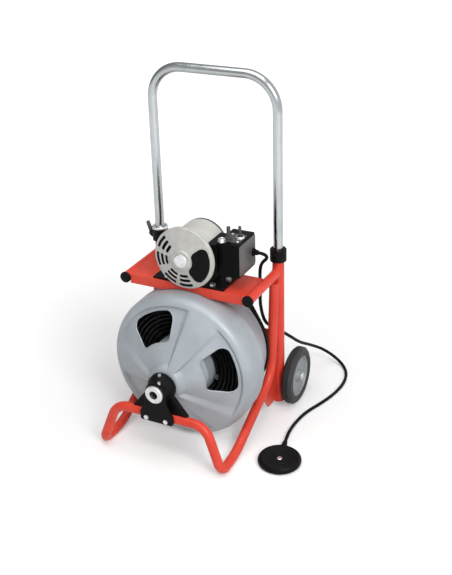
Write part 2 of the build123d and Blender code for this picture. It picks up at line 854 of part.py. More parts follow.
# Motor shell and end bells
bearing_out = 16.0
with BuildPart() as motor_shell:
    with BuildSketch(facing(rear_bell_y, motor_x, motor_z)):
        Circle(motor_r)
        Circle(motor_r - motor_wall, mode=Mode.SUBTRACT)
    extrude(amount=rear_bell_y - bell_back_y)
motor_shell.part.label = "motor_shell"
export_step(motor_shell.part, "parts/motor_shell.step")

cover_in = 31.0
cover_out = bell_r - 9.0
cover_half = 47.0
cover_turn = -11.0
cover_t = 2.0
cover_gap = 0.2
with BuildSketch() as cover_outline:
    with BuildLine():
        cover_in_arc = CenterArc((0, 0), cover_in, -cover_half, 2 * cover_half)
        cover_out_arc = CenterArc((0, 0), cover_out, -cover_half, 2 * cover_half)
        Line(cover_in_arc @ 0, cover_out_arc @ 0)
        Line(cover_in_arc @ 1, cover_out_arc @ 1)
    make_face()
    fillet(cover_outline.vertices(), 15.0)
vent_half = 15.0
vent_w = 8.0
vent_turns = (147.0, 188.0, 236.0, 274.0)
with BuildSketch() as vent_outline:
    for vent_edge in (43.0, 29.0, 15.0):
        vent_r = bell_r - vent_edge
        with BuildLine():
            low_arc = CenterArc((0, 0), vent_r, -vent_half, 2 * vent_half)
            high_arc = CenterArc((0, 0), vent_r + vent_w, -vent_half, 2 * vent_half)
            Line(low_arc @ 0, high_arc @ 0)
            Line(low_arc @ 1, high_arc @ 1)
        make_face()
    fillet(vent_outline.vertices(), 3.0)
cap_ring_r = 28.0
cap_ring_y = bell_y + 1.5
face_edge_r = bell_r - 6.5
face_edge_y = bell_rim_y - 4.0
face_slope = (face_edge_y - cap_ring_y) / (face_edge_r - cap_ring_r)


def bell_face(radius):
    return cap_ring_y + (radius - cap_ring_r) * face_slope


with BuildPart() as front_bell:
    with BuildSketch(motor_plane):
        with BuildLine():
            Polyline(
                (bell_back_y, motor_r),
                (bell_rim_y + bell_rim_t, motor_r),
                (bell_rim_y + bell_rim_t, bell_r),
                (bell_rim_y, bell_r),
                (bell_rim_y - 2.5, bell_r - 1.5),
                (bell_rim_y - 3.0, bell_r - 4.0),
                (face_edge_y, face_edge_r),
                (cap_ring_y, cap_ring_r),
                (bell_y - 2.0, 26.0),
                (bell_y - 2.0, 19.0),
                (bell_y - 4.0, 17.0),
                (bell_y - 4.0, 0),
                (bell_y + 4.0, 0),
                (bell_y + 4.0, bearing_out),
                (bell_y + 20.0, bearing_out),
                (bell_y + 20.0, bearing_out + 5.0),
                (bell_y + 7.5, bearing_out + 6.0),
                (bell_rim_y - 2.0, motor_r - motor_wall),
                (bell_back_y, motor_r - motor_wall),
                close=True,
            )
        make_face()
    revolve(axis=motor_axis)
    with BuildSketch(facing(bell_y, motor_x, motor_z)):
        for vent_turn in vent_turns:
            with PolarLocations(0, 1, start_angle=vent_turn):
                add(vent_outline.sketch)
    extrude(amount=bell_y - bell_rim_y - 2.0, mode=Mode.SUBTRACT)
front_bell.part.label = "front_bell"
export_step(front_bell.part, "parts/front_bell.step")

# Bell cover: a thin kidney plate that follows the bell's slope
with BuildPart() as bell_cover:
    with BuildSketch(motor_plane):
        with BuildLine():
            Polyline(
                (bell_face(cover_in - 1.0) - cover_gap, cover_in - 1.0),
                (bell_face(cover_out + 1.0) - cover_gap, cover_out + 1.0),
                (bell_face(cover_out + 1.0) - cover_gap - cover_t, cover_out + 1.0),
                (bell_face(cover_in - 1.0) - cover_gap - cover_t, cover_in - 1.0),
                close=True,
            )
        make_face()
    revolve(axis=motor_axis)
    with BuildSketch(facing(bell_y - 5.0, motor_x, motor_z)):
        with PolarLocations(0, 1, start_angle=cover_turn):
            add(cover_outline.sketch)
    extrude(amount=bell_y - bell_rim_y - 10.0, mode=Mode.INTERSECT)
bell_cover.part.label = "bell_cover"
export_step(bell_cover.part, "parts/bell_cover.step")

with BuildPart() as rear_bell:
    with BuildSketch(motor_plane):
        with BuildLine():
            Polyline(
                (rear_bell_y, motor_r),
                (motor_back_y - 5.0, motor_r - 1.0),
                (motor_back_y, motor_r - 8.0),
                (motor_back_y, shaft_r + 2.0),
                (motor_back_y - 4.0, shaft_r + 2.0),
                (motor_back_y - 4.0, bearing_out),
                (motor_back_y - 16.0, bearing_out),
                (motor_back_y - 16.0, bearing_out + 5.0),
                (motor_back_y - 5.0, bearing_out + 6.0),
                (motor_back_y - 5.0, motor_r - 12.0),
                (motor_back_y - 9.0, motor_r - 6.0),
                (rear_bell_y, motor_r - motor_wall),
                close=True,
            )
        make_face()
    revolve(axis=motor_axis)
rear_bell.part.label = "rear_bell"
export_step(rear_bell.part, "parts/rear_bell.step")

with BuildPart() as motor_bearings:
    with BuildSketch(facing(bell_y + 18.0, motor_x, motor_z)):
        Circle(bearing_out)
        Circle(shaft_r + run_gap, mode=Mode.SUBTRACT)
    extrude(amount=12.0)
    with BuildSketch(facing(motor_back_y - 4.0, motor_x, motor_z)):
        Circle(bearing_out)
        Circle(shaft_r + run_gap, mode=Mode.SUBTRACT)
    extrude(amount=11.0)
motor_bearings.part.label = "motor_bearings"
export_step(motor_bearings.part, "parts/motor_bearings.step")

# Stator and rotor
rotor_r = 44.0
with BuildPart() as stator:
    with BuildSketch(facing(rear_bell_y - 6.0, motor_x, motor_z)):
        Circle(motor_r - motor_wall)
        Circle(rotor_r + 1.0, mode=Mode.SUBTRACT)
    extrude(amount=52.0)
stator.part.label = "stator"
export_step(stator.part, "parts/stator.step")

with BuildPart() as rotor:
    with BuildSketch(facing(rear_bell_y - 7.0, motor_x, motor_z)):
        Circle(rotor_r)
        Circle(shaft_r, mode=Mode.SUBTRACT)
    extrude(amount=50.0)
rotor.part.label = "rotor"
export_step(rotor.part, "parts/rotor.step")

with BuildPart() as motor_shaft:
    with BuildSketch(facing(belt_y + groove_half + 3.0, motor_x, motor_z)):
        Circle(shaft_r)
    extrude(amount=belt_y + groove_half + 3.0 - bell_y - 5.0)
motor_shaft.part.label = "motor_shaft"
export_step(motor_shaft.part, "parts/motor_shaft.step")

with BuildPart() as motor_pulley:
    with BuildSketch(motor_plane):
        with BuildLine():
            Polyline(
                (belt_y - groove_half - 3.0, shaft_r),
                (belt_y - groove_half - 3.0, pulley_r + 2.5),
                (belt_y - groove_half, pulley_r + 2.5),
                (belt_y - groove_half, pulley_r),
                (belt_y + groove_half, pulley_r),
                (belt_y + groove_half, pulley_r + 2.5),
                (belt_y + groove_half + 3.0, pulley_r + 2.5),
                (belt_y + groove_half + 3.0, shaft_r),
                close=True,
            )
        make_face()
    revolve(axis=motor_axis)
motor_pulley.part.label = "motor_pulley"
export_step(motor_pulley.part, "parts/motor_pulley.step")

# Drive belt round the drum and the motor pulley
span = math.hypot(motor_x, motor_z - drum_z)
reach_x = motor_x / span
reach_z = (motor_z - drum_z) / span


def belt_loop(extra):
    big = groove_r + belt_gap + extra
    small = pulley_r + belt_gap + extra
    lean = (big - small) / span
    out = math.sqrt(1 - lean ** 2)
    right = (reach_x * lean + reach_z * out, reach_z * lean - reach_x * out)
    left = (reach_x * lean - reach_z * out, reach_z * lean + reach_x * out)
    hub = (motor_x, motor_z - drum_z)
    right_foot = (big * right[0], big * right[1])
    left_foot = (big * left[0], big * left[1])
    right_top = (hub[0] + small * right[0], hub[1] + small * right[1])
    left_top = (hub[0] + small * left[0], hub[1] + small * left[1])
    Line(right_foot, right_top)
    ThreePointArc(right_top, (hub[0] + small * reach_x, hub[1] + small * reach_z), left_top)
    Line(left_top, left_foot)
    ThreePointArc(left_foot, (-big * reach_x, -big * reach_z), right_foot)


with BuildPart() as drive_belt:
    with BuildSketch(facing(belt_y + belt_w / 2, 0, drum_z)):
        with BuildLine():
            belt_loop(belt_t)
        make_face()
        with BuildLine():
            belt_loop(0.0)
        make_face(mode=Mode.SUBTRACT)
    extrude(amount=belt_w)
drive_belt.part.label = "drive_belt"
export_step(drive_belt.part, "parts/drive_belt.step")

# Saddle and switch box on the motor's side
saddle_in = 28.0
with BuildPart() as box_saddle:
    with BuildSketch(facing(rear_bell_y - 4.0, box_x, motor_z)):
        with BuildLine():
            Polyline((0, -40.0), (0, 40.0), (-saddle_in, 40.0), (-saddle_in, -40.0), close=True)
        make_face()
        with Locations((motor_x - box_x, 0)):
            Circle(motor_r, mode=Mode.SUBTRACT)
    extrude(amount=rear_bell_y - 4.0 - box_y)
box_saddle.part.label = "box_saddle"
export_step(box_saddle.part, "parts/box_saddle.step")

box_mid_x = box_x + box_w / 2
box_mid_y = box_y + box_d / 2
lever_x = box_mid_x + 14.0
lever_y = box_mid_y - 4.0
post_x = box_mid_x - 10.0
post_y = box_mid_y - 20.0
lever_r = 4.0
lever_pin_r = 2.0
with BuildPart() as switch_box:
    with BuildSketch(Plane.XY.offset(box_z)):
        with Locations((box_mid_x, box_mid_y)):
            RectangleRounded(box_w, box_d, 4.0)
    extrude(amount=box_h)
    fillet(switch_box.faces().sort_by(Axis.Z)[-1].edges(), 2.0)
    with BuildSketch(Plane.XY.offset(box_z + box_wall)):
        with Locations((box_mid_x, box_mid_y)):
            Rectangle(box_w - 2 * box_wall, box_d - 2 * box_wall)
    extrude(amount=box_h - 2 * box_wall, mode=Mode.SUBTRACT)
    with BuildSketch(Plane.XY.offset(box_z + box_h)):
        with Locations((lever_x, lever_y)):
            Circle(9.0)
    extrude(amount=-2 * box_wall, mode=Mode.SUBTRACT)
switch_box.part.label = "switch_box"
export_step(switch_box.part, "parts/switch_box.step")

# Switch plate with a well, and the lever that pivots in it
plate_z = box_z + box_h
well_z = plate_z - 9.0
with BuildPart() as switch_plate:
    with BuildSketch(Plane.XY.offset(plate_z)):
        with Locations((box_mid_x + 2.0, box_mid_y - 8.0)):
            RectangleRounded(44.0, 52.0, 3.0)
    extrude(amount=1.5)
    with BuildSketch(Plane.XY.offset(well_z)):
        with Locations((lever_x, lever_y)):
            Circle(9.0)
    extrude(amount=plate_z - well_z)
    with BuildSketch(Plane.XY.offset(well_z + 1.5)):
        with Locations((lever_x, lever_y)):
            Circle(7.5)
    extrude(amount=plate_z - well_z + 5.0, mode=Mode.SUBTRACT)
    with BuildSketch(facing(lever_y + 9.0, lever_x, well_z + 5.0)):
        Circle(lever_pin_r + run_gap)
    extrude(amount=18.0, mode=Mode.SUBTRACT)
switch_plate.part.label = "switch_plate"
export_step(switch_plate.part, "parts/switch_plate.step")

lever_top = plate_z + 34.0
with BuildPart() as switch_lever:
    with BuildSketch(turned(lever_x, 0)):
        with BuildLine():
            Polyline(
                (lever_y, well_z + 2.6),
                (lever_y + 3.2, well_z + 2.6),
                (lever_y + 3.2, plate_z + 10.0),
                (lever_y + lever_r, plate_z + 24.0),
                (lever_y + lever_r, lever_top),
                (lever_y, lever_top),
                close=True,
            )
        make_face()
    revolve(axis=Axis((lever_x, lever_y, 0), (0, 0, 1)))
    fillet(switch_lever.faces().sort_by(Axis.Z)[-1].edges(), 2.0)
    with BuildSketch(facing(lever_y + 8.5, lever_x, well_z + 5.0)):
        Circle(lever_pin_r)
    extrude(amount=17.0)
switch_lever.part.label = "switch_lever"
export_step(switch_lever.part, "parts/switch_lever.step")

with BuildPart() as box_post:
    with BuildSketch(Plane.XY.offset(plate_z + 1.5)):
        with Locations((post_x, post_y)):
            RegularPolygon(8.0, 6)
    extrude(amount=7.0)
    with BuildSketch(Plane.XY.offset(plate_z + 8.5)):
        with Locations((post_x, post_y)):
            Circle(5.0)
    extrude(amount=27.0)
    fillet(box_post.faces().sort_by(Axis.Z)[-1].edges(), 2.0)
box_post.part.label = "box_post"
export_step(box_post.part, "parts/box_post.step")

# Glands on the side and the back of the box
gland_len = 14.0
box_back_y = box_y + box_d
box_side_x = box_x + box_w
hose_start_y = box_back_y - 14.0
hose_start_z = box_z + 40.0
with BuildPart() as hose_gland:
    with BuildSketch(turned(box_side_x, hose_start_z)):
        with Locations((hose_start_y, 0)):
            RegularPolygon(9.0, 6)
    extrude(amount=gland_len / 2)
    with BuildSketch(turned(box_side_x + gland_len / 2, hose_start_z)):
        with Locations((hose_start_y, 0)):
            Circle(7.0)
    extrude(amount=gland_len / 2)
hose_gland.part.label = "hose_gland"
export_step(hose_gland.part, "parts/hose_gland.step")

with BuildPart() as mains_gland:
    with BuildSketch(facing(box_back_y, box_x + 13.0, box_z + 18.0)):
        RegularPolygon(10.0, 6)
        Circle(4.5, mode=Mode.SUBTRACT)
    extrude(amount=-gland_len)
mains_gland.part.label = "mains_gland"
export_step(mains_gland.part, "parts/mains_gland.step")

# Foot pedal: a cup on the floor with a dished diaphragm
pedal_y = upright_y - pedal_out
pedal_h = 20.0
pedal_floor = 3.0
press = 6.0
dish_z = pedal_floor + press + 0.5
dome_r = pedal_r - 9.0
stud_r = 7.0
pedal_axis = Axis((pedal_x, pedal_y, 0), (0, 0, 1))
with BuildPart() as pedal_base:
    with BuildSketch(Plane.XY):
        with Locations((pedal_x, pedal_y)):
            Circle(pedal_r)
    extrude(amount=pedal_h)
    fillet(pedal_base.faces().sort_by(Axis.Z)[-1].edges(), 6.0)
    with BuildSketch(Plane.XY.offset(pedal_floor)):
        with Locations((pedal_x, pedal_y)):
            Circle(dome_r + 0.5)
    extrude(amount=pedal_h, mode=Mode.SUBTRACT)
pedal_base.part.label = "pedal_base"
export_step(pedal_base.part, "parts/pedal_base.step")

with BuildPart() as pedal_dome:
    with BuildSketch(Plane(origin=(pedal_x, pedal_y, 0), x_dir=(1, 0, 0), z_dir=(0, -1, 0))):
        with BuildLine():
            Polyline(
                (stud_r, dish_z),
                (stud_r, dish_z + 3.0),
                (dome_r - 24.0, dish_z + 3.0),
                (dome_r - 12.0, dish_z + 5.0),
                (dome_r - 4.0, dish_z + 8.5),
                (dome_r, dish_z + 8.5),
                (dome_r, dish_z + 1.0),
                (dome_r - 3.0, dish_z + 1.0),
                (dome_r - 3.5, dish_z + 4.5),
                (dome_r - 12.0, dish_z + 1.5),
                (dome_r - 24.0, dish_z),
                close=True,
            )
        make_face()
    revolve(axis=pedal_axis)
pedal_dome.part.label = "pedal_dome"
export_step(pedal_dome.part, "parts/pedal_dome.step")

with BuildPart() as pedal_stud:
    with BuildSketch(Plane.XY.offset(dish_z)):
        with Locations((pedal_x, pedal_y)):
            Circle(stud_r)
    extrude(amount=5.5)
    fillet(pedal_stud.faces().sort_by(Axis.Z)[-1].edges(), 2.0)
pedal_stud.part.label = "pedal_stud"
export_step(pedal_stud.part, "parts/pedal_stud.step")

hose_way = (-math.sin(math.radians(pedal_turn)), math.cos(math.radians(pedal_turn)))
relief_z = 8.0
relief_len = 24.0


def from_pedal(reach, z):
    return (pedal_x + reach * hose_way[0], pedal_y + reach * hose_way[1], z)


relief_plane = Plane(origin=from_pedal(pedal_r - 1.0, relief_z), z_dir=(hose_way[0], hose_way[1], 0))
with BuildPart() as hose_relief:
    with BuildSketch(relief_plane):
        Circle(7.5)
    with BuildSketch(relief_plane.offset(relief_len + 1.0)):
        Circle(5.2)
    loft()
    with Locations((pedal_x, pedal_y, pedal_h / 2)):
        Cylinder(pedal_r, pedal_h, mode=Mode.SUBTRACT)
hose_relief.part.label = "hose_relief"
export_step(hose_relief.part, "parts/hose_relief.step")

# Air hose from the box, behind the right upright, to the pedal
hose_points = [
    (box_side_x + gland_len, hose_start_y, hose_start_z),
    (box_side_x + gland_len + 18.0, hose_start_y, hose_start_z),
    (box_side_x + gland_len + 24.0, hose_start_y + 8.0, hose_start_z - 14.0),
    (box_side_x + gland_len, hose_start_y + 17.0, hose_start_z - 37.0),
    (147.0, upright_y - 51.0, 428.0),
    (144.0, upright_y - 40.0, 394.0),
    (141.0, upright_y - 39.0, 340.0),
    (145.0, upright_y - 33.0, 298.0),
    (149.0, upright_y - 20.0, 268.0),
    (154.0, upright_y + 6.0, 246.0),
    (168.0, upright_y + 40.0, 216.0),
    (184.0, upright_y + 78.0, 180.0),
    (188.0, upright_y + 128.0, 138.0),
    (190.0, upright_y + 205.0, 90.0),
    (214.0, upright_y + 266.0, 46.0),
    (262.0, upright_y + 274.0, 12.0),
    (296.0, upright_y + 236.0, hose_d / 2),
    (310.0, upright_y + 180.0, hose_d / 2),
    (306.0, upright_y + 118.0, hose_d / 2),
    (290.0, upright_y + 56.0, hose_d / 2),
    (264.0, upright_y - 12.0, hose_d / 2),
    (257.0, upright_y - 72.0, hose_d / 2),
    from_pedal(pedal_r + relief_len + 40.0, relief_z),
    from_pedal(pedal_r + relief_len, relief_z),
]
hose_radii = []
for before, at, after in zip(hose_points, hose_points[1:], hose_points[2:]):
    run_in = Vector(at) - Vector(before)
    run_out = Vector(after) - Vector(at)
    half_turn = math.radians(run_in.get_angle(run_out)) / 2
    hose_radii.append(0.45 * min(run_in.length, run_out.length) / math.tan(half_turn))
print("hose radii", [round(r) for r in hose_radii])
with BuildLine() as hose_path:
    FilletPolyline(*hose_points, radius=hose_radii)
with BuildPart() as air_hose:
    with BuildSketch(Plane(hose_path.line @ 0, z_dir=hose_path.line % 0)):
        Circle(hose_d / 2)
    sweep(path=hose_path.line)
air_hose.part.label = "air_hose"
export_step(air_hose.part, "parts/air_hose.step")
print("hose length", round(hose_path.wire().length), "volume ratio",
      round(air_hose.part.volume / (math.pi * hose_d ** 2 / 4 * hose_path.wire().length), 3))
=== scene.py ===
import json
import math

import bpy
from mathutils import Matrix, Vector


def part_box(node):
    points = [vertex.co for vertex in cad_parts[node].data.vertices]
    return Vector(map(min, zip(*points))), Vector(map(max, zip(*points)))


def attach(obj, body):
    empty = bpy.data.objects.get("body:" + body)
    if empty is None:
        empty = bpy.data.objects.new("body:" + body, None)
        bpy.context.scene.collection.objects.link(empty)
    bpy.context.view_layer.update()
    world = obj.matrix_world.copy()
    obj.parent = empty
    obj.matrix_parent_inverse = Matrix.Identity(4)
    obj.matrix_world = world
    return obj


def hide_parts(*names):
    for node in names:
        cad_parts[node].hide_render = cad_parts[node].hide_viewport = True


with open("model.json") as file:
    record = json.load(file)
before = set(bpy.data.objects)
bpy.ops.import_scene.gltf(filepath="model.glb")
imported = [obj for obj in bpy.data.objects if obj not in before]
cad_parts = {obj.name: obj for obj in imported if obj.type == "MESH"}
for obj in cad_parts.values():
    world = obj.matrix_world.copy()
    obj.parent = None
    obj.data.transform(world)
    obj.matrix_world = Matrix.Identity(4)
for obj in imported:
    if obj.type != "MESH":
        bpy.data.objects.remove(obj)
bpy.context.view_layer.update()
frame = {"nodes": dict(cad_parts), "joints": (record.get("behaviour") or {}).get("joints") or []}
nodes = frame["nodes"]

# Welded frame: two upright sleeves, two bent legs that meet in the front crossbar, tray arms, gussets
# and plates. Steel tube and sheet, cut and bent cold, welded up and powder coated in one colour.


def linear(code):
    """An sRGB hex code as the linear colour that a shader takes."""
    shares = [int(code[k:k + 2], 16) / 255 for k in (1, 3, 5)]
    return tuple(c / 12.92 if c <= 0.04045 else ((c + 0.055) / 1.055) ** 2.4 for c in shares) + (1.0,)


def add_node(tree, kind, values=None, links=None, **settings):
    """One shader node with its settings, its socket values and what is linked into it."""
    node = tree.nodes.new(kind)
    for name, value in settings.items():
        setattr(node, name, value)
    for socket, value in (values or {}).items():
        node.inputs[socket].default_value = value
    for socket, source in (links or {}).items():
        tree.links.new(source, node.inputs[socket])
    return node


def new_finish(name, rough, metallic=0.0, **sockets):
    """A material with its shader set, and the place on the piece that its patterns read."""
    finish = bpy.data.materials.new(name)
    finish.use_nodes = True
    tree = finish.node_tree
    shader = tree.nodes["Principled BSDF"]
    shader.inputs["Roughness"].default_value = rough
    shader.inputs["Metallic"].default_value = metallic
    for socket, value in sockets.items():
        shader.inputs[socket.replace("_", " ")].default_value = value
    place = add_node(tree, "ShaderNodeTexCoord").outputs["Object"]
    return finish, tree, shader, place


def dress(finish, *names):
    """CAD nodes take a finish in place of the plain one that they were packed with."""
    for name in names:
        nodes[name].data.materials.clear()
        nodes[name].data.materials.append(finish)


# A Mix node's sockets share their names, so those that mix colours are given by their numbers.
mix_share, mix_from, mix_to, mix_out = 0, 6, 7, 2
edge_rays = 6


def mottle(tree, shader, place, dark, light, patch_mm, rough):
    """Tone and gloss that drift over the surface in soft patches of a given size."""
    drift = add_node(tree, "ShaderNodeTexNoise",
                     {"Scale": 1000 / patch_mm, "Detail": 4.0, "Roughness": 0.6}, {"Vector": place})
    spread = add_node(tree, "ShaderNodeMapRange", {"From Min": 0.32, "From Max": 0.68},
                      {"Value": drift.outputs["Fac"]})
    tone = add_node(tree, "ShaderNodeMix", {mix_from: linear(dark), mix_to: linear(light)},
                    {mix_share: spread.outputs["Result"]}, data_type="RGBA")
    gloss = add_node(tree, "ShaderNodeMapRange", {"To Min": rough[0], "To Max": rough[1]},
                     {"Value": spread.outputs["Result"]})
    tree.links.new(tone.outputs[mix_out], shader.inputs["Base Color"])
    tree.links.new(gloss.outputs["Result"], shader.inputs["Roughness"])
    return tone.outputs[mix_out]


def grain(tree, shader, place, grain_mm, depth_mm, edge_mm=0.0):
    """A fine raised grain, over edges that are softened as a tool or a coat leaves them."""
    fine = add_node(tree, "ShaderNodeTexNoise", {"Scale": 1000 / grain_mm, "Detail": 2.0}, {"Vector": place})
    bump = add_node(tree, "ShaderNodeBump", {"Strength": 1.0, "Distance": depth_mm / 1000},
                    {"Height": fine.outputs["Fac"]})
    if edge_mm:
        soft = add_node(tree, "ShaderNodeBevel", {"Radius": edge_mm / 1000}, samples=edge_rays)
        tree.links.new(soft.outputs["Normal"], bump.inputs["Normal"])
    tree.links.new(bump.outputs["Normal"], shader.inputs["Normal"])


def worn(tree, shader, tone, bare, edge_mm, share, metallic=0.0):
    """Rubbed edges: where the surface turns sharply, the coat gives way to what is under it."""
    geometry = add_node(tree, "ShaderNodeNewGeometry")
    soft = add_node(tree, "ShaderNodeBevel", {"Radius": edge_mm / 1000}, samples=edge_rays)
    turn = add_node(tree, "ShaderNodeVectorMath", None,
                    {0: geometry.outputs["Normal"], 1: soft.outputs["Normal"]}, operation="DOT_PRODUCT")
    edge = add_node(tree, "ShaderNodeMapRange", {"From Min": 0.985, "From Max": 0.86, "To Max": share},
                    {"Value": turn.outputs["Value"]})
    rubbed = add_node(tree, "ShaderNodeMix", {mix_to: linear(bare)},
                      {mix_share: edge.outputs["Result"], mix_from: tone}, data_type="RGBA")
    tree.links.new(rubbed.outputs[mix_out], shader.inputs["Base Color"])
    if metallic:
        shine = add_node(tree, "ShaderNodeMath", {1: metallic}, {0: edge.outputs["Result"]},
                         operation="MULTIPLY")
        tree.links.new(shine.outputs[0], shader.inputs["Metallic"])
    return rubbed.outputs[mix_out]


# Powder coat: polyester powder, sprayed dry and baked, which leaves a soft orange peel, an even half
# gloss and a paler line along the edges, where it draws thin.
frame_coat, tree, shader, place = new_finish("powder_coat_orange_red", rough=0.36, IOR=1.5,
                                             Specular_IOR_Level=0.35)
tone = mottle(tree, shader, place, "#d63a28", "#e14a36", patch_mm=70.0, rough=(0.30, 0.42))
grain(tree, shader, place, grain_mm=2.4, depth_mm=0.05, edge_mm=1.4)
worn(tree, shader, tone, "#ee7a64", edge_mm=1.2, share=0.45)
dress(frame_coat, "upright_left", "upright_right", "leg_tube_left", "leg_tube_right", "gusset_left",
      "gusset_right", "arm_left", "arm_right", "motor_tray", "rear_cross_plate", "axle_brackets")

# Weld beads: the weld metal all round the saddle where each arm meets its sleeve, and along each side of
# the tray, beside its arm. It is laid by hand and coated over with the frame.
# Powder coat on weld: the same coat over hand-laid ripples, so the gloss breaks up into small glints.
ripple_mm, ripple_depth_mm = 3.125, 0.9
bead_coat, tree, shader, place = new_finish("powder_coat_on_weld", rough=0.36, IOR=1.5)
mottle(tree, shader, place, "#cc3623", "#e0452f", patch_mm=9.0, rough=(0.30, 0.44))
ripple = add_node(tree, "ShaderNodeTexNoise", {"Scale": 1000 / ripple_mm, "Detail": 1.0}, {"Vector": place})
bump = add_node(tree, "ShaderNodeBump", {"Strength": 1.0, "Distance": ripple_depth_mm / 1000},
                {"Height": ripple.outputs["Fac"]})
tree.links.new(bump.outputs["Normal"], shader.inputs["Normal"])


def middle_of(name):
    """The middle of a CAD node's box, in mm."""
    low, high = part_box(name)
    return (low + high) / 2 * 1000


def bead(name, runs, body, finish, radius, closed=True):
    """Round beads along runs of points given in mm, as one curve piece."""
    line = bpy.data.curves.new(name, "CURVE")
    line.dimensions = "3D"
    line.bevel_depth = radius / 1000
    line.bevel_resolution = 3
    line.use_fill_caps = True
    for points in runs:
        run = line.splines.new("POLY")
        run.points.add(len(points) - 1)
        for point, spot in zip(run.points, points):
            point.co = (spot[0] / 1000, spot[1] / 1000, spot[2] / 1000, 1.0)
        run.use_cyclic_u = closed
        run.use_smooth = True
    piece = bpy.data.objects.new(name, line)
    bpy.context.scene.collection.objects.link(piece)
    line.materials.append(finish)
    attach(piece, body)
    return piece


upright_x, upright_y, _ = middle_of("upright_right")
sleeve_r, arm_r, arm_z = 16.2, 12.9, 421.0
saddle_points, saddle_bead_r = 32, 2.3
saddles = []
for side in (-1, 1):
    saddle = []
    for k in range(saddle_points):
        around = math.tau * k / saddle_points
        across = arm_r * math.cos(around)
        forward = math.sqrt(sleeve_r ** 2 - across ** 2)
        saddle.append((side * upright_x + across, upright_y - forward, arm_z + arm_r * math.sin(around)))
    saddles.append(saddle)
bead("arm_welds", saddles, "frame", bead_coat, saddle_bead_r)
seam_x, seam_front, seam_length, seam_z = 158.5, -58.0, 105.0, 428.2
seam_steps, seam_bead_r, hand_waver = 24, 1.8, 0.25
seams = []
for side in (-1, 1):
    seam = []
    for k in range(seam_steps + 1):
        rise = hand_waver * math.sin(k * 2.2)
        seam.append((side * seam_x, seam_front + seam_length * k / seam_steps, seam_z + rise))
    seams.append(seam)
bead("tray_welds", seams, "frame", bead_coat, seam_bead_r, closed=False)

# Sliding U handle: one steel tube, bent cold, polished and chrome plated. It slides in the two sleeves.
# Chrome plate: a thin bright skin over nickel, mirror-like, with faint lines where the tube was drawn.
chrome, tree, shader, place = new_finish("chrome_plate", rough=0.12, metallic=1.0)
mottle(tree, shader, place, "#a6abad", "#b4b8ba", patch_mm=40.0, rough=(0.13, 0.24))
drawn = add_node(tree, "ShaderNodeMapping", {"Scale": (1.0, 1.0, 0.02)}, {"Vector": place})
grain(tree, shader, drawn.outputs["Vector"], grain_mm=0.8, depth_mm=0.012)
dress(chrome, "handle")

# Black mouldings: the caps on the tray arms, the collars on the sleeves, the saddle between the switch
# box and the motor, and the glands in the box's walls. They are moulded, and pushed or screwed on.
# Nylon: injection moulded in a spark-eroded tool, a fine satin grain with paler rubbed edges.
nylon, tree, shader, place = new_finish("nylon_black", rough=0.5, IOR=1.53, Specular_IOR_Level=0.1)
tone = mottle(tree, shader, place, "#070707", "#0d0d0e", patch_mm=30.0, rough=(0.40, 0.58))
grain(tree, shader, place, grain_mm=0.8, depth_mm=0.05, edge_mm=0.8)
worn(tree, shader, tone, "#3a3a3a", edge_mm=1.0, share=0.6)
dress(nylon, "arm_caps", "collar_left", "collar_right", "box_saddle", "hose_gland", "mains_gland")

# Bright hardware: the nose ring, spindles, axle and its caps, bolts, grease screw, motor shaft, bearings,
# cable anchors and the pedal's stud. Steel, turned or cold formed, zinc plated, pressed or screwed in.
# Zinc plate: tumbled in a barrel, so a slightly cloudy bright metal with fine scuffs.
zinc, tree, shader, place = new_finish("zinc_plated_steel", rough=0.28, metallic=1.0)
mottle(tree, shader, place, "#c6c8ca", "#e2e3e3", patch_mm=8.0, rough=(0.30, 0.46))
grain(tree, shader, place, grain_mm=0.6, depth_mm=0.012, edge_mm=0.6)
dress(zinc, "nose_spindle", "nose_ring", "rear_spindle", "axle", "axle_caps", "bearing_bolts", "motor_bolts",
      "grease_screw", "motor_shaft", "motor_bearings", "front_bearing", "pedal_stud", "cable_anchors")

# Dark hardware: the handle's clamp lever, and the switch lever, post and plate on top of the box.
# Steel, cut and cold formed, blackened before it is fitted.
# Black oxide: phosphated and oiled, dark with a dull metal sheen that is rubbed bright on the edges.
black_steel, tree, shader, place = new_finish("black_oxide_steel", rough=0.45, metallic=0.6)
tone = mottle(tree, shader, place, "#333436", "#4b4c4e", patch_mm=6.0, rough=(0.34, 0.50))
grain(tree, shader, place, grain_mm=0.6, depth_mm=0.015, edge_mm=0.6)
worn(tree, shader, tone, "#a2a3a5", edge_mm=0.8, share=0.7, metallic=0.9)
dress(black_steel, "clamp_lever", "box_post", "switch_lever", "switch_plate")

# Drum: two pressed steel shells round an inner hub, with a spindle at each end. The front shell is a cone
# with three raised wedges that stiffen it and, between them, three windows with rolled edges.
# Silver-grey enamel: sprayed paint with fine metal flake, half gloss, drifting slightly in tone. The
# flake is drawn far coarser than it is, so that it shows.
flakes_per_mm = 2.6
drum_coat, tree, shader, place = new_finish("silver_grey_enamel", rough=0.46, metallic=0.15)
tone = mottle(tree, shader, place, "#9fa6ac", "#aeb5bb", patch_mm=90.0, rough=(0.40, 0.52))
flake = add_node(tree, "ShaderNodeTexVoronoi", {"Scale": 1000 * flakes_per_mm}, {"Vector": place})
spark = add_node(tree, "ShaderNodeMapRange", {"To Min": 0.94, "To Max": 1.06},
                 {"Value": flake.outputs["Color"]})
sparkle = add_node(tree, "ShaderNodeVectorMath", None, {0: tone, "Scale": spark.outputs["Result"]},
                   operation="SCALE")
grain(tree, shader, place, grain_mm=1.8, depth_mm=0.03, edge_mm=1.5)
worn(tree, shader, sparkle.outputs["Vector"], "#c6cbcf", edge_mm=1.4, share=0.4)
dress(drum_coat, "drum_rear", "inner_hub")


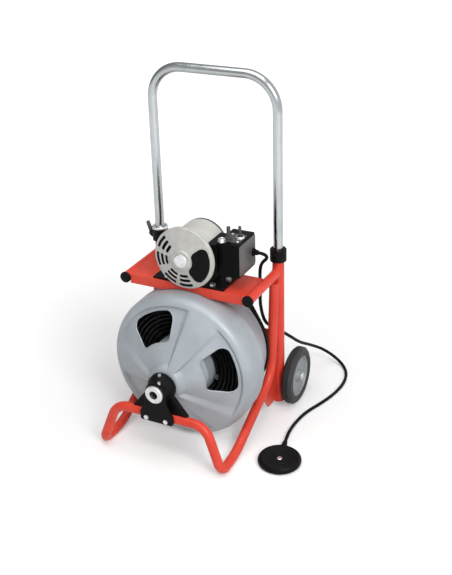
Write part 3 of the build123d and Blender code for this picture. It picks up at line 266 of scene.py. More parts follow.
def chain(name, points, close=False):
    """A thin line of edges through points in mm, drawn out one vertex at a time, left in edit mode."""
    bpy.ops.object.select_all(action="DESELECT")
    bpy.ops.mesh.primitive_plane_add(size=0.001, location=(0, 0, 0))
    piece = bpy.context.object
    piece.name = name
    bpy.ops.object.mode_set(mode="EDIT")
    bpy.ops.mesh.select_mode(type="VERT")
    bpy.ops.mesh.select_all(action="SELECT")
    bpy.ops.mesh.merge(type="CENTER")
    spots = [Vector(point) / 1000 for point in points]
    bpy.ops.transform.translate(value=spots[0])
    for before, after in zip(spots, spots[1:] + (spots[:1] if close else [])):
        bpy.ops.mesh.extrude_region_move(TRANSFORM_OT_translate={"value": after - before})
    bpy.ops.mesh.select_all(action="SELECT")
    if close:
        bpy.ops.mesh.remove_doubles(threshold=0.00001)
    return piece


def turned(name, profile, centre, axis, steps, close=False):
    """A piece turned round an axis from (along, out) points in mm, smooth apart from its sharp edges."""
    hub, way = Vector(centre), Vector(axis)
    start = Vector((1, 0, 0)) if way.z else Vector((0, 0, 1))
    piece = chain(name, [hub + way * along + start * out for along, out in profile], close)
    bpy.ops.mesh.spin(steps=steps, angle=math.tau, center=hub / 1000, axis=way)
    bpy.ops.mesh.select_all(action="SELECT")
    bpy.ops.mesh.remove_doubles(threshold=0.00002)
    bpy.ops.mesh.normals_make_consistent(inside=False)
    bpy.ops.object.mode_set(mode="OBJECT")
    bpy.ops.object.shade_smooth_by_angle(angle=math.radians(32))
    return piece


def slab(name, outline, depth):
    """A flat piece of a closed outline in mm, drawn out by depth, which is given in mm along x, y and z."""
    piece = chain(name, outline, close=True)
    bpy.ops.mesh.edge_face_add()
    bpy.ops.mesh.extrude_region_move(TRANSFORM_OT_translate={"value": Vector(depth) / 1000})
    bpy.ops.mesh.select_all(action="SELECT")
    bpy.ops.mesh.normals_make_consistent(inside=False)
    bpy.ops.object.mode_set(mode="OBJECT")
    return piece


def change(piece, kind, **settings):
    """A modifier added to the piece and applied at once."""
    bpy.ops.object.select_all(action="DESELECT")
    piece.select_set(True)
    bpy.context.view_layer.objects.active = piece
    step = piece.modifiers.new(kind.lower(), kind)
    for name, value in settings.items():
        setattr(step, name, value)
    bpy.ops.object.modifier_apply(modifier=step.name)


def cut(piece, tool):
    """The tool's shape cut out of the piece, with the slivers that the cut leaves merged away."""
    change(piece, "BOOLEAN", object=tool, operation="DIFFERENCE", solver="EXACT")
    bpy.ops.object.mode_set(mode="EDIT")
    bpy.ops.mesh.select_all(action="SELECT")
    bpy.ops.mesh.dissolve_degenerate(threshold=0.00002)
    bpy.ops.object.mode_set(mode="OBJECT")
    bpy.data.objects.remove(tool, do_unlink=True)


def finish_piece(piece, finish, body, slot, *stands_for):
    """The piece takes its finish, rides on its body, and stands for the CAD nodes that it replaces."""
    piece.data.materials.clear()
    piece.data.materials.append(finish)
    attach(piece, body)
    if stands_for:
        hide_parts(*stands_for)


def pick_faces(piece, wanted):
    """Edit mode with just the faces picked whose middle is wanted."""
    bpy.ops.object.mode_set(mode="EDIT")
    bpy.ops.mesh.select_mode(type="FACE")
    bpy.ops.mesh.select_all(action="DESELECT")
    bpy.ops.object.mode_set(mode="OBJECT")
    for face in piece.data.polygons:
        face.select = wanted(face.center)
    bpy.ops.object.mode_set(mode="EDIT")


# The points in mm that the joints turn about, as the frame has them.
axis_at = {joint["name"]: [1000 * c for c in joint["pos_m"]] for joint in frame["joints"] if "pos_m" in joint}
drum_axis = axis_at["drum_spin"]
drum_z = drum_axis[2]
lengthways = (0, 1, 0)
cone_front, cone_in, cone_width, cone_depth = -189.0, 36.0, 153.0, 87.0
nose_front, nose_r, throat_r = -199.0, 35.0, 15.3
# Each wedge's turn in degrees, with how many degrees its flank moves out at each step down.
wedge_slopes = {65.0: 0.75, 182.0: 1.5, 312.0: 1.5}
wedge_rise, wedge_half = 10.2, 16.0
# The panels sink in small steps, the first and last of them the least, so that the slopes run out softly.
step_shares = (0.3, 0.9, 1.4, 1.4, 1.4, 1.4, 0.9, 0.3)
slope_steps = len(step_shares)
panel_out, panel_in = 184.0, 46.0
out_pitch, in_pitch = 1.25, 1.0


def cone_y(out):
    """Where the cone's skin lies along the machine at a distance from the drum's axis, in mm."""
    return cone_front + (out - cone_in) / cone_width * cone_depth


def on_panel(spot, step):
    """Whether a face lies in a sunk panel between the wedges, this many steps in from the panel's edge."""
    across, up = spot[0] * 1000, spot[2] * 1000 - drum_z
    out, turn = math.hypot(across, up), math.degrees(math.atan2(up, across)) % 360
    flank = step - (slope_steps - 1) / 2
    clear = all(abs((turn - middle + 180) % 360 - 180) > wedge_half + slope * flank
                for middle, slope in wedge_slopes.items())
    return panel_in + in_pitch * step < out < panel_out - out_pitch * step and clear


shoulder = [(-69.2, 205.0), (-84.0, 205.0), (-94.0, 203.4), (-102.5, 199.8), (-108.5, 195.0),
            (-111.8, 190.5), (-113.3, 187.0)]
# Rings of vertices on the cone: close together where a panel's slope runs, wide apart between.
outer_slope = [panel_out - out_pitch * k for k in range(slope_steps)]
inner_slope = [panel_in + in_pitch * k for k in reversed(range(slope_steps))]
cone_rings = outer_slope + [160.0, 130.0, 100.0, 70.0] + inner_slope + [36.5]
wedge_line = [(cone_y(out) - wedge_rise, out) for out in cone_rings]
nose_line = [(nose_front, nose_r), (nose_front, throat_r)]
drum_face = turned("drum_face", shoulder + wedge_line + nose_line, drum_axis, lengthways, steps=240)
for step, share in enumerate(step_shares):
    pick_faces(drum_face, lambda spot: on_panel(spot, step))
    bpy.ops.transform.translate(value=(0, wedge_rise * share / sum(step_shares) / 1000, 0))
    bpy.ops.object.mode_set(mode="OBJECT")

window_turns = (13.5, 117.0, 246.0)
window_in, window_out, window_half = 96.0, 171.0, 25.0
corner_in, corner_out, arc_points = 14.0, 23.0, 8


def window_line(turn):
    """One window's rounded outline, as (across, up) points in mm about the drum's axis."""
    far, near = window_out - corner_out, window_in + corner_in
    lean_out = window_half - math.degrees(math.asin(corner_out / far))
    lean_in = window_half - math.degrees(math.asin(corner_in / near))
    # Each arc: its middle's distance and turn, its radius, and the turns that it runs between.
    arcs = [(far, -lean_out, corner_out, -window_half - 90, -lean_out),
            (0, 0, window_out, -lean_out, lean_out),
            (far, lean_out, corner_out, lean_out, window_half + 90),
            (near, lean_in, corner_in, window_half + 90, lean_in + 180),
            (0, 0, window_in, lean_in, -lean_in),
            (near, -lean_in, corner_in, 180 - lean_in, 270 - window_half)]
    swing = math.radians(turn)
    outline = []
    for away, lean, radius, first, last in arcs:
        for k in range(arc_points):
            at = math.radians(first + (last - first) * k / arc_points)
            across = away * math.cos(math.radians(lean)) + radius * math.cos(at)
            up = away * math.sin(math.radians(lean)) + radius * math.sin(at)
            outline.append((across * math.cos(swing) - up * math.sin(swing),
                            across * math.sin(swing) + up * math.cos(swing)))
    return outline


sheet_mm, cut_front, cut_depth = 2.6, -215.0, 125.0
lip_r, lip_back = 2.4, 1.6
change(drum_face, "SOLIDIFY", thickness=sheet_mm / 1000, offset=-1.0, use_even_offset=True)
lips = []
for turn in window_turns:
    outline = window_line(turn)
    cut(drum_face, slab("window_cutter", [(x, cut_front, drum_z + z) for x, z in outline], (0, cut_depth, 0)))
    lips.append([(x, cone_y(math.hypot(x, z)) + lip_back, drum_z + z) for x, z in outline])
bpy.ops.object.shade_smooth_by_angle(angle=math.radians(45))
finish_piece(drum_face, drum_coat, "drum", "drum_paint", "drum_front")
bead("window_lips", lips, "drum", drum_coat, lip_r)

# Drain cable: spring wire coiled tight into a flexible cable and laid in the drum, turn beside turn.
# The front layer is one flat spiral, and the layers under it show as a bed of rounded ridges.
# Spring steel: drawn wire, oiled and dark, with a glint on the crown of each turn of wire. The wire is
# drawn about 3 mm thick, coarser than it is, so that it shows.
wires_per_turn, wire_depth_mm = 300.0, 0.7
cable_steel, tree, shader, place = new_finish("oiled_spring_steel", rough=0.38, metallic=0.9)
mottle(tree, shader, place, "#0d0d0e", "#2b2b2d", patch_mm=14.0, rough=(0.30, 0.50))
split = add_node(tree, "ShaderNodeSeparateXYZ", None, {"Vector": place})
height = add_node(tree, "ShaderNodeMath", {1: drum_z / 1000}, {0: split.outputs["Z"]}, operation="SUBTRACT")
angle = add_node(tree, "ShaderNodeMath", None, {0: height.outputs[0], 1: split.outputs["X"]},
                 operation="ARCTAN2")
lay = add_node(tree, "ShaderNodeMath", {1: wires_per_turn}, {0: angle.outputs[0]}, operation="MULTIPLY")
wire = add_node(tree, "ShaderNodeMath", None, {0: lay.outputs[0]}, operation="SINE")
bump = add_node(tree, "ShaderNodeBump", {"Strength": 1.0, "Distance": wire_depth_mm / 1000},
                {"Height": wire.outputs[0]})
tree.links.new(bump.outputs["Normal"], shader.inputs["Normal"])
cable_r, spiral_y, spiral_in, spiral_pitch = 4.9, -85.0, 97.5, 11.2
spiral_turns, turn_points = 8, 48
spiral = []
for k in range(spiral_turns * turn_points + 1):
    around = math.tau * k / turn_points
    out = spiral_in + spiral_pitch * k / turn_points
    spiral.append((out * math.cos(around), spiral_y, drum_z + out * math.sin(around)))
coil = bead("cable_spiral", [spiral], "drum", cable_steel, cable_r, closed=False)
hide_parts("drain_cable")
bed_in, bed_out, bed_back, inner_front, outer_front = 88.6, 198.6, -37.0, -79.0, -74.0
ridge_count, ridge_first, ridge_pitch = 10, 94.6, 11.0
ridge_foot, ridge_rise, ridge_half, ridge_steps = -76.0, 4.8, 5.4, 6
bed_line = [(bed_back, bed_in), (inner_front, bed_in)]
for count in range(ridge_count):
    ridge_r = ridge_first + ridge_pitch * count
    for k in range(ridge_steps + 1):
        around = math.pi * k / ridge_steps
        bed_line.append((ridge_foot - ridge_rise * math.sin(around), ridge_r - ridge_half * math.cos(around)))
bed_line += [(outer_front, bed_out), (bed_back, bed_out)]
cable_bed = turned("cable_bed", bed_line, drum_axis, lengthways, steps=120, close=True)
finish_piece(cable_bed, cable_steel, "drum", "wound_cable", "cable_core")

# Castings: the nose bracket, the rear bearing block and the motor's base. Iron, cast in sand, machined
# where they bolt on, and painted black.
# Painted casting: brushed enamel over the sand skin, low gloss, a coarse grain and worn corners.
casting, tree, shader, place = new_finish("black_painted_casting", rough=0.5, Specular_IOR_Level=0.1)
tone = mottle(tree, shader, place, "#070707", "#111111", patch_mm=25.0, rough=(0.42, 0.62))
grain(tree, shader, place, grain_mm=1.8, depth_mm=0.16, edge_mm=2.0)
worn(tree, shader, tone, "#2e2e2e", edge_mm=1.6, share=0.6)
dress(casting, "front_bracket", "rear_bearing_block", "motor_base")

# Front bell: the motor's front end, an aluminium die casting with vent slots round its face, pushed on
# the shell. The walls of the slots carry painted shade, near black; the face and the rim keep their paint.
# Painted die casting: thin sprayed enamel over a slightly orange-peeled casting, brighter on its edges.
motor_x, _, motor_z = axis_at["motor_spin"]
slots_r, slots_half_width = 59.0, 19.5
bell_coat, tree, shader, place = new_finish("pale_grey_casting_paint", rough=0.40, metallic=0.1)
tone = mottle(tree, shader, place, "#b3b2ad", "#c4c3bf", patch_mm=26.0, rough=(0.32, 0.48))
grain(tree, shader, place, grain_mm=1.6, depth_mm=0.06, edge_mm=1.2)
sprayed = worn(tree, shader, tone, "#e9e9e6", edge_mm=1.0, share=0.5)
# Painted shade in the slots: faces turned away from the front, within the ring of slots, go near black.
facing = add_node(tree, "ShaderNodeSeparateXYZ", None, {"Vector": place.node.outputs["Normal"]})
square = add_node(tree, "ShaderNodeMath", None, {0: facing.outputs["Y"]}, operation="ABSOLUTE")
wall = add_node(tree, "ShaderNodeMapRange", {"From Min": 0.7, "From Max": 0.5}, {"Value": square.outputs[0]})
from_axis = add_node(tree, "ShaderNodeVectorMath", {1: (-motor_x / 1000, 0.0, -motor_z / 1000)}, {0: place},
                     operation="ADD")
spoke = add_node(tree, "ShaderNodeVectorMath", {1: (1.0, 0.0, 1.0)}, {0: from_axis.outputs["Vector"]},
                 operation="MULTIPLY")
reach = add_node(tree, "ShaderNodeVectorMath", None, {0: spoke.outputs["Vector"]}, operation="LENGTH")
in_slots = add_node(tree, "ShaderNodeMath", {1: slots_r / 1000, 2: slots_half_width / 1000},
                    {0: reach.outputs["Value"]}, operation="COMPARE")
slot_wall_shade = add_node(tree, "ShaderNodeMath", None, {0: wall.outputs["Result"], 1: in_slots.outputs[0]},
                  operation="MULTIPLY")
bell_tone_with_shade = add_node(tree, "ShaderNodeMix", {mix_to: linear("#0b0b0b")},
                     {mix_share: slot_wall_shade.outputs[0], mix_from: sprayed}, data_type="RGBA")
tree.links.new(bell_tone_with_shade.outputs[mix_out], shader.inputs["Base Color"])
dress(bell_coat, "front_bell")

# Bell cover: a thin kidney-shaped plate on the face of the front bell, whose slope it follows. It is
# moulded plastic, set on the casting from the front.
# Pebbled plastic: moulded in an etched tool, black, with a coarse pebble that scatters the light.
cover_plastic, tree, shader, place = new_finish("pebbled_black_cover", rough=0.55, IOR=1.5,
                                                Specular_IOR_Level=0.1)
mottle(tree, shader, place, "#030303", "#0d0d0c", patch_mm=7.0, rough=(0.45, 0.65))
grain(tree, shader, place, grain_mm=2.6, depth_mm=0.35, edge_mm=1.0)
dress(cover_plastic, "bell_cover")

# Rear bell: the motor's plain back end, an aluminium die casting that carries the shaft's rear bearing.
# Bare casting: left as it came from the die, dark grey and dull, with brighter edges.
bare_casting, tree, shader, place = new_finish("bare_die_casting", rough=0.5, metallic=0.6)
tone = mottle(tree, shader, place, "#4c4d4d", "#616262", patch_mm=18.0, rough=(0.42, 0.58))
grain(tree, shader, place, grain_mm=1.4, depth_mm=0.08, edge_mm=1.2)
worn(tree, shader, tone, "#8b8c8c", edge_mm=1.0, share=0.5)
dress(bare_casting, "rear_bell")

# Motor shell: a sheet steel tube between the two bells, rolled, welded along its seam and painted.
# Shell enamel: smooth sprayed paint on rolled sheet, half gloss, with a faint orange peel.
shell_coat, tree, shader, place = new_finish("pale_grey_enamel", rough=0.34)
mottle(tree, shader, place, "#b9b8b2", "#c7c6c0", patch_mm=45.0, rough=(0.30, 0.42))
grain(tree, shader, place, grain_mm=2.0, depth_mm=0.03, edge_mm=1.0)
dress(shell_coat, "motor_shell")

# Motor core: the stator in the shell and the rotor on the shaft, each a stack of thin stamped sheets.
# Core iron: laminations, dull grey-brown, which show as fine lines. They are drawn 1 mm thick, coarser
# than they are, so that they show.
# A wave texture draws this many bands to a unit of length at a scale of 1.
wave_bands = 20 / math.tau
lamination_mm, lamination_depth_mm = 0.9817, 0.2
iron, tree, shader, place = new_finish("laminated_iron", rough=0.5, metallic=0.8)
mottle(tree, shader, place, "#4a4744", "#5a5754", patch_mm=6.0, rough=(0.4, 0.6))
stack = add_node(tree, "ShaderNodeTexWave", {"Scale": 1000 / lamination_mm / wave_bands}, {"Vector": place},
                 bands_direction="Y")
bump = add_node(tree, "ShaderNodeBump", {"Strength": 1.0, "Distance": lamination_depth_mm / 1000},
                {"Height": stack.outputs["Fac"]})
tree.links.new(bump.outputs["Normal"], shader.inputs["Normal"])
dress(iron, "rotor", "stator")

# Motor pulley: a small grooved wheel on the back of the shaft, turned from aluminium bar and pressed on.
# Turned aluminium: bright metal with fine tool rings left by the lathe, drawn coarser than they are.
tool_ring_mm, tool_ring_depth_mm = 0.7854, 0.06
pulley_alloy, tree, shader, place = new_finish("turned_aluminium", rough=0.3, metallic=1.0)
mottle(tree, shader, place, "#aeb0b3", "#c2c4c6", patch_mm=10.0, rough=(0.25, 0.4))
lathe_marks = add_node(tree, "ShaderNodeTexWave", {"Scale": 1000 / tool_ring_mm / wave_bands},
                       {"Vector": place}, bands_direction="Y")
bump = add_node(tree, "ShaderNodeBump", {"Strength": 1.0, "Distance": tool_ring_depth_mm / 1000},
                {"Height": lathe_marks.outputs["Fac"]})
tree.links.new(bump.outputs["Normal"], shader.inputs["Normal"])
dress(pulley_alloy, "motor_pulley")

# Slot shades: thin black strips inside the front bell's rim, which show through its outer slots and close
# them. They are painted shade, standing for the dark inside the motor, in the caps' black nylon finish.
slot_turns, slot_half, slot_steps = (147.0, 188.0, 236.0, 274.0), 14.6, 4
slot_in, slot_out, slot_depth = 69.4, 76.6, 4.1
bell_front = 1000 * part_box("front_bell")[0].y
slot_front = bell_front + 18.8


def ease_edges(piece):
    """The piece's sharp edges rounded a little, as moulding or tumbling leaves them."""
    change(piece, "BEVEL", width=0.0004, segments=2, limit_method="ANGLE", angle_limit=math.radians(40))


# Painted shade: one black strip behind each outer slot of the bell.
for count, slot_turn in enumerate(slot_turns, start=1):
    strip = []
    for out, way in ((slot_in, 1), (slot_out, -1)):
        for k in range(-slot_steps, slot_steps + 1):
            around = math.radians(slot_turn + way * slot_half * k / slot_steps)
            strip.append((motor_x + out * math.cos(around), slot_front, motor_z + out * math.sin(around)))
    slot_shade_strip = slab("slot_shade_strip_" + str(count), strip, (0, slot_depth, 0))
    ease_edges(slot_shade_strip)
    finish_piece(slot_shade_strip, nylon, "frame", "black_plastic")

# Bearing cap: a bright cap with a rolled rim that closes the bearing in the middle of the front bell.
# It is pressed from steel sheet, zinc plated and pushed in.
cap_line = [(-0.05, 0.0), (-0.05, 17.2), (1.5, 17.2), (1.5, 18.2), (-0.6, 18.0), (-1.6, 17.0), (-1.8, 15.4),
            (-1.2, 14.0), (-1.1, 12.0), (-1.7, 9.0), (-2.2, 5.0), (-2.4, 0.0)]
bearing_cap = turned("bearing_cap", cap_line, (motor_x, bell_front, motor_z), lengthways, steps=64)
finish_piece(bearing_cap, zinc, "frame", "bright_steel")

# Clamp ring: a bright ring on top of the left collar, round the handle's tube, which the clamp lever
# draws tight. It is pressed from steel and zinc plated.
upwards = (0, 0, 1)
collar_top = 1000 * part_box("collar_left")[1].z
ring_line = [(0.2, 13.3), (0.2, 21.6), (2.0, 22.4), (5.0, 22.2), (7.2, 20.6), (7.8, 18.0), (6.8, 15.4),
             (6.6, 13.3)]
ring_spot = (-upright_x, upright_y, collar_top)
clamp_ring = turned("clamp_ring", ring_line, ring_spot, upwards, steps=64, close=True)
finish_piece(clamp_ring, zinc, "frame", "bright_steel")

# Switch box: a moulded black box on the motor's flank, closed by a plate that two screws hold. A bush
# guides the switch lever through the plate, and a low round gland stands at the box's front corner.
# ABS: injection moulded in a polished tool, black, half gloss, with a fine grain and rubbed edges.
box_plastic, tree, shader, place = new_finish("abs_black", rough=0.26, IOR=1.53, Specular_IOR_Level=0.05)
tone = mottle(tree, shader, place, "#060607", "#0c0c0d", patch_mm=30.0, rough=(0.22, 0.34))
grain(tree, shader, place, grain_mm=0.7, depth_mm=0.03, edge_mm=1.2)
worn(tree, shader, tone, "#3c3c3e", edge_mm=1.2, share=0.5)
dress(box_plastic, "switch_box")
box_low, box_high = (1000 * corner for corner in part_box("switch_box"))
plate_top = 1000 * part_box("switch_plate")[1].z
lever_x, lever_y, _ = axis_at["switch_tilt"]
bush_line = [(0.1, 9.2), (0.1, 11.8), (1.6, 11.8), (2.0, 11.2), (5.4, 10.6), (6.0, 10.0), (6.0, 8.6),
             (0.1, 8.6)]
lever_bush = turned("lever_bush", bush_line, (lever_x, lever_y, plate_top), upwards, steps=48, close=True)
finish_piece(lever_bush, zinc, "frame", "bright_steel")
low_gland_line = [(0.0, 0.0), (0.0, 11.0), (1.4, 11.0), (1.8, 10.2), (6.5, 9.6), (8.2, 8.2), (8.6, 6.2),
                  (7.6, 5.4), (7.4, 0.0)]
low_gland_x, low_gland_y = 94.5, -33.0
low_gland = turned("low_gland", low_gland_line, (low_gland_x, low_gland_y, box_high.z), upwards, steps=48)
finish_piece(low_gland, zinc, "frame", "bright_steel")
screw_line = [(0.0, 0.0), (0.0, 3.6), (0.9, 3.5), (1.8, 2.8), (2.3, 1.6), (2.4, 0.0)]
for name, screw_x, screw_y in (("plate_screw_front", 133.0, -24.0), ("plate_screw_back", 101.0, 16.0)):
    screw = turned(name, screw_line, (screw_x, screw_y, plate_top), upwards, steps=32)
    finish_piece(screw, zinc, "frame", "bright_steel")

# Side plate: a plain grey sheet with rounded corners on the box's outer wall, with a hole that clears the
# hose gland. It is a painted reflection: its grey stands for the light that the black box's side mirrors.
# Grey sheet: painted reflection, mid grey and even under a satin finish, paler at its edges.
side_sheen_finish, tree, shader, place = new_finish("grey_sheet_painted_sheen", rough=0.42, IOR=1.5)
tone = mottle(tree, shader, place, "#4d4b4b", "#5a5858", patch_mm=35.0, rough=(0.36, 0.50))
grain(tree, shader, place, grain_mm=0.9, depth_mm=0.03, edge_mm=0.5)
worn(tree, shader, tone, "#8a8888", edge_mm=0.6, share=0.5)
plate_gap, plate_thick, plate_corner, corner_steps = 0.1, 1.2, 5.0, 6
# From the box's edges to the middles of the plate's corner arcs.
corner_y_in, corner_z_in = 7.0, 9.0
arc_front, arc_back = box_low.y + corner_y_in, box_high.y - corner_y_in
arc_low, arc_high = box_low.z + corner_z_in, box_high.z - corner_z_in
plate_line = []
for corner_y, corner_z, first in ((arc_back, arc_high, 0), (arc_front, arc_high, 90),
                                  (arc_front, arc_low, 180), (arc_back, arc_low, 270)):
    for k in range(corner_steps + 1):
        around = math.radians(first + 90 * k / corner_steps)
        plate_line.append((box_high.x + plate_gap, corner_y + plate_corner * math.cos(around),
                           corner_z + plate_corner * math.sin(around)))
# Painted reflection: the grey sheet laid on the black box's side.
side_sheen_plate = slab("side_sheen_plate", plate_line, (plate_thick, 0, 0))
sideways = (1, 0, 0)
hole_r, hole_start, hole_end = 11.0, -6.0, 4.0
hole_line = [(hole_start, 0.0), (hole_start, hole_r), (hole_end, hole_r), (hole_end, 0.0)]
_, gland_y, gland_z = middle_of("hose_gland")
cut(side_sheen_plate, turned("gland_hole", hole_line, (box_high.x, gland_y, gland_z), sideways, steps=48))
ease_edges(side_sheen_plate)
bpy.ops.object.shade_smooth_by_angle(angle=math.radians(30))
finish_piece(side_sheen_plate, side_sheen_finish, "frame", "box_black")

# Drive belt: an endless rubber belt from the motor's pulley to the groove round the drum's back, moulded
# over cords and ground on its flanks.
# Vulcanised rubber: dull black with a fine dusty grain.
rubber, tree, shader, place = new_finish("black_rubber", rough=0.6, IOR=1.52, Specular_IOR_Level=0.12)
mottle(tree, shader, place, "#0a0a0a", "#151515", patch_mm=16.0, rough=(0.5, 0.7))
grain(tree, shader, place, grain_mm=0.9, depth_mm=0.05)
dress(rubber, "drive_belt")

# Foot pedal: a dished rubber diaphragm, moulded with three raised rings, that is pressed by foot. It is
# held by the rim of a round cup, moulded in black nylon with a rounded foot, that lies on the floor.
pedal_x, pedal_y, _ = middle_of("pedal_base")
disc_top = [(12.6, 7.2), (12.6, 12.0), (13.4, 13.0), (13.4, 15.0), (12.7, 16.0), (12.8, 20.0), (13.7, 21.0),
            (13.8, 23.0), (13.1, 24.0), (13.6, 29.0), (14.6, 30.0), (14.9, 32.0), (14.3, 33.0), (15.4, 37.0),
            (17.0, 41.0), (18.3, 44.0), (18.6, 47.4), (17.6, 47.9)]
disc_under = [(10.6, 47.9), (10.6, 45.2), (13.6, 44.6), (11.2, 36.0), (9.6, 24.0), (9.6, 7.2)]
pedal_spot = (pedal_x, pedal_y, 0)
diaphragm = turned("pedal_diaphragm", disc_top + disc_under, pedal_spot, upwards, steps=96, close=True)
finish_piece(diaphragm, rubber, "pedal", "black_rubber", "pedal_dome")
cup_line = [(0.0, 0.0), (0.0, 50.0), (1.2, 53.0), (4.0, 55.8), (8.0, 57.0), (12.0, 56.6), (15.5, 54.8),
            (18.2, 52.2), (19.6, 50.2), (19.8, 49.2), (19.4, 48.5), (18.5, 48.3), (3.0, 48.3), (3.0, 0.0)]
pedal_cup = turned("pedal_cup", cup_line, pedal_spot, upwards, steps=96)
finish_piece(pedal_cup, nylon, "frame", "black_plastic", "pedal_base")

# Hose boot: the tapered sleeve in the pedal's wall that keeps the hose from kinking. It is moulded in
# nylon, with three grooves that let it bend, and points the way that the hose leaves the pedal.
boot_z, hose_lean = 8.0, math.radians(12.5)
# Each groove: where it starts, and the boot's radius before it, in it and after it.
boot_grooves = ((61.0, 7.8, 6.9, 7.6), (66.4, 7.4, 6.5, 7.1), (71.8, 6.9, 6.0, 6.5))
boot_line = [(53.0, 0.0), (53.0, 7.8)]
for start, before, groove_r, after in boot_grooves:
    boot_line += [(start, before), (start + 1.0, groove_r), (start + 2.4, groove_r), (start + 3.4, after)]
boot_line += [(77.2, 6.3), (82.4, 5.5), (82.4, 4.6), (80.9, 4.6), (80.9, 0.0)]
hose_way = (-math.sin(hose_lean), math.cos(hose_lean), 0)
boot = turned("hose_boot", boot_line, (pedal_x, pedal_y, boot_z), hose_way, steps=48)
finish_piece(boot, nylon, "frame", "black_plastic", "hose_relief")

# Wheels: a solid rubber tyre, moulded with rounded shoulders and three grooves round the tread, pressed
# on a dished hub that turns on the axle.
# Tyre rubber: carbon black, moulded, greyed by dust on its flanks.
tyre_rubber, tree, shader, place = new_finish("tyre_rubber", rough=0.62, IOR=1.52)
mottle(tree, shader, place, "#1d1d1e", "#2b2b2c", patch_mm=12.0, rough=(0.5, 0.75))
grain(tree, shader, place, grain_mm=1.2, depth_mm=0.08)
wheel_x, axle_y, axle_z = axis_at["wheel_right_spin"]
crown_r, tread_groove_r = 81.9, 79.4
flank_line = [(-15.0, 58.2), (-15.0, 66.0), (-15.4, 69.0), (-14.4, 73.5), (-12.0, 77.6), (-8.8, 80.4)]
tread_line = list(flank_line)
for groove in (-5.6, 0.0, 5.6):
    tread_line += [(groove - 1.5, crown_r), (groove - 1.0, tread_groove_r), (groove + 1.0, tread_groove_r),
                   (groove + 1.5, crown_r)]
tread_line += [(-along, out) for along, out in reversed(flank_line)]
for side, word in ((-1, "left"), (1, "right")):
    tyre_line = [(side * (wheel_x + along), out) for along, out in tread_line]
    tyre = turned("tyre_tread_" + word, tyre_line, (0, axle_y, axle_z), sideways, steps=128, close=True)
    finish_piece(tyre, tyre_rubber, "wheel_" + word, "tyre_rubber", "tyre_" + word)
# Hub moulding: polypropylene filled with talc, pale grey, with an even satin skin from the tool.
hub_plastic, tree, shader, place = new_finish("grey_hub_moulding", rough=0.45, IOR=1.49)
mottle(tree, shader, place, "#8a8f92", "#989da0", patch_mm=20.0, rough=(0.4, 0.5))
grain(tree, shader, place, grain_mm=1.0, depth_mm=0.04, edge_mm=1.0)
dress(hub_plastic, "wheel_hub_left", "wheel_hub_right")

# Air hose: one length of soft black tube from the switch box to the pedal, behind the right upright and
# along the floor. It is extruded rubber, pushed on a barb in the box and held in the pedal's boot.
hose_d = 0.009
hose_route = [
    (0.160, 0.039, 0.508), (0.178, 0.039, 0.508), (0.184, 0.047, 0.494), (0.160, 0.056, 0.471),
    (0.147, 0.076, 0.428), (0.144, 0.087, 0.394), (0.141, 0.088, 0.340), (0.145, 0.094, 0.298),
    (0.149, 0.107, 0.268), (0.154, 0.133, 0.246), (0.168, 0.167, 0.216), (0.184, 0.205, 0.180),
    (0.188, 0.255, 0.138), (0.190, 0.332, 0.090), (0.214, 0.393, 0.046), (0.262, 0.401, 0.012),
    (0.296, 0.363, 0.0045), (0.310, 0.307, 0.0045), (0.306, 0.245, 0.0045), (0.290, 0.183, 0.0045),
    (0.264, 0.115, 0.0045), (0.257, 0.055, 0.0045), (0.2598, -0.0009, 0.008), (0.2685, -0.0399, 0.008),
]
hose_line = bpy.data.curves.new("air_hose_line", "CURVE")
hose_line.dimensions = "3D"
hose_run = hose_line.splines.new("NURBS")
hose_run.points.add(len(hose_route) - 1)
for point, spot in zip(hose_run.points, hose_route):
    point.co = (*spot, 1.0)
hose_run.order_u = 3
hose_run.use_endpoint_u = True
hose_run.resolution_u = 10
hose_line.bevel_depth = hose_d / 2
hose_line.bevel_resolution = 5
hose_line.use_fill_caps = True
hose = bpy.data.objects.new("pedal_hose", hose_line)
bpy.context.scene.collection.objects.link(hose)
finish_piece(hose, rubber, "frame", "black_rubber", "air_hose")

# Floor: a plain pale paper sweep under the machine, which keeps its shadow and goes to white away from it.
# Paper: matt and even, with a glow that only the camera and, a little less, the metal see.
floor_size, near_reach, far_reach = 30.0, 0.35, 2.4
near_glow, far_glow, glow_in_metal = 0.24, 0.95, 0.85
bpy.ops.object.select_all(action="DESELECT")
bpy.ops.mesh.primitive_plane_add(size=floor_size, location=(0, 0, 0))
floor = bpy.context.object
floor.name = "studio_floor"
floor_paper, tree, shader, place = new_finish("floor_paper", rough=0.9, Specular_IOR_Level=0.0)
shader.inputs["Base Color"].default_value = linear("#e7e7e7")
shader.inputs["Emission Color"].default_value = linear("#ffffff")
seen = add_node(tree, "ShaderNodeLightPath")
reach = add_node(tree, "ShaderNodeVectorMath", None, {0: place}, operation="LENGTH")
glow = add_node(tree, "ShaderNodeMapRange", {"From Min": near_reach, "From Max": far_reach,
                                             "To Min": near_glow, "To Max": far_glow},
                {"Value": reach.outputs["Value"]})
mirrored = add_node(tree, "ShaderNodeMath", {1: glow_in_metal}, {0: seen.outputs["Is Glossy Ray"]},
                    operation="MULTIPLY")
shown = add_node(tree, "ShaderNodeMath", None, {0: seen.outputs["Is Camera Ray"], 1: mirrored.outputs[0]},
                 operation="MAXIMUM")
lift = add_node(tree, "ShaderNodeMath", None, {0: shown.outputs[0], 1: glow.outputs["Result"]},
                operation="MULTIPLY")
tree.links.new(lift.outputs[0], shader.inputs["Emission Strength"])
floor.data.materials.append(floor_paper)

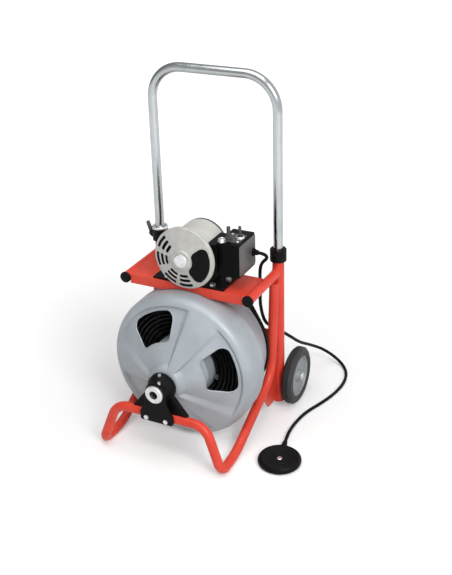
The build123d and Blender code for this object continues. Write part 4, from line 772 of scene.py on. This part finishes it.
# Room: white for the camera, brighter on the right than on the left for what the metal mirrors, and
# dimmer where it only lights the machine.
left_wall, right_wall, light_share = 0.32, 0.92, 0.36
mix_number_from, mix_number_to = 2, 3
sky = bpy.data.worlds.new("studio")
bpy.context.scene.world = sky
sky.use_nodes = True
tree = sky.node_tree
seen = add_node(tree, "ShaderNodeLightPath")
looking = add_node(tree, "ShaderNodeTexCoord")
sight = add_node(tree, "ShaderNodeSeparateXYZ", None, {"Vector": looking.outputs["Generated"]})
room = add_node(tree, "ShaderNodeMapRange", {"From Min": -0.9, "From Max": 0.5,
                                             "To Min": left_wall, "To Max": right_wall},
                {"Value": sight.outputs["X"]})
wash = add_node(tree, "ShaderNodeMath", {1: light_share}, {0: room.outputs["Result"]}, operation="MULTIPLY")
lit = add_node(tree, "ShaderNodeMix", None,
               {mix_share: seen.outputs["Is Glossy Ray"], mix_number_from: wash.outputs[0],
                mix_number_to: room.outputs["Result"]}, data_type="FLOAT")
direct = add_node(tree, "ShaderNodeMath", None,
                  {0: seen.outputs["Is Camera Ray"], 1: seen.outputs["Is Transmission Ray"]},
                  operation="MAXIMUM")
strength = add_node(tree, "ShaderNodeMix", {mix_number_to: 1.0},
                    {mix_share: direct.outputs[0], mix_number_from: lit.outputs[0]}, data_type="FLOAT")
tree.links.new(strength.outputs[0], tree.nodes["Background"].inputs["Strength"])
tree.nodes["Background"].inputs["Color"].default_value = linear("#ffffff")

# Lamps: a soft key high on the right, a weak fill on the left and a soft top light, each a square panel
# that faces the middle of the machine.
lamps = (
    ("key_light", (2.5, -1.8, 2.5), 1.5, 82.0),
    ("fill_light", (-2.4, -2.2, 1.6), 2.0, 3.5),
    ("top_light", (0.0, -0.6, 3.0), 2.2, 42.0),
)
lamp_aim = Vector((0, 0, 0.4))
for name, spot, size, power in lamps:
    lamp = bpy.data.lights.new(name, "AREA")
    lamp.energy = power
    lamp.size = size
    stand = bpy.data.objects.new(name, lamp)
    stand.location = spot
    stand.rotation_euler = (lamp_aim - Vector(spot)).to_track_quat("-Z", "Y").to_euler()
    bpy.context.scene.collection.objects.link(stand)

# Camera: the photograph's place, from the front right and above, with the lens and the slight roll that
# fit it.
azimuth, elevation, roll = math.radians(26.83), math.radians(25.12), math.radians(-1.67)
camera_spot = Vector((1.1155, -2.0321, 1.5588))
level_back = Vector((math.sin(azimuth), -math.cos(azimuth), 0))
back = level_back * math.cos(elevation) + Vector((0, 0, math.sin(elevation)))
level_right = Vector((math.cos(azimuth), math.sin(azimuth), 0))
level_up = back.cross(level_right)
right = level_right * math.cos(roll) + level_up * math.sin(roll)
up = level_up * math.cos(roll) - level_right * math.sin(roll)
view = bpy.data.cameras.new("photo_view")
view.sensor_width = 36.0
view.lens = 61.6
view.shift_y = -0.0478
view.clip_end = 100.0
camera = bpy.data.objects.new("photo_view", view)
camera.matrix_world = Matrix.Translation(camera_spot) @ Matrix((right, up, back)).transposed().to_4x4()
bpy.context.scene.collection.objects.link(camera)
bpy.context.scene.camera = camera
bpy.context.scene.view_settings.view_transform = "Standard"
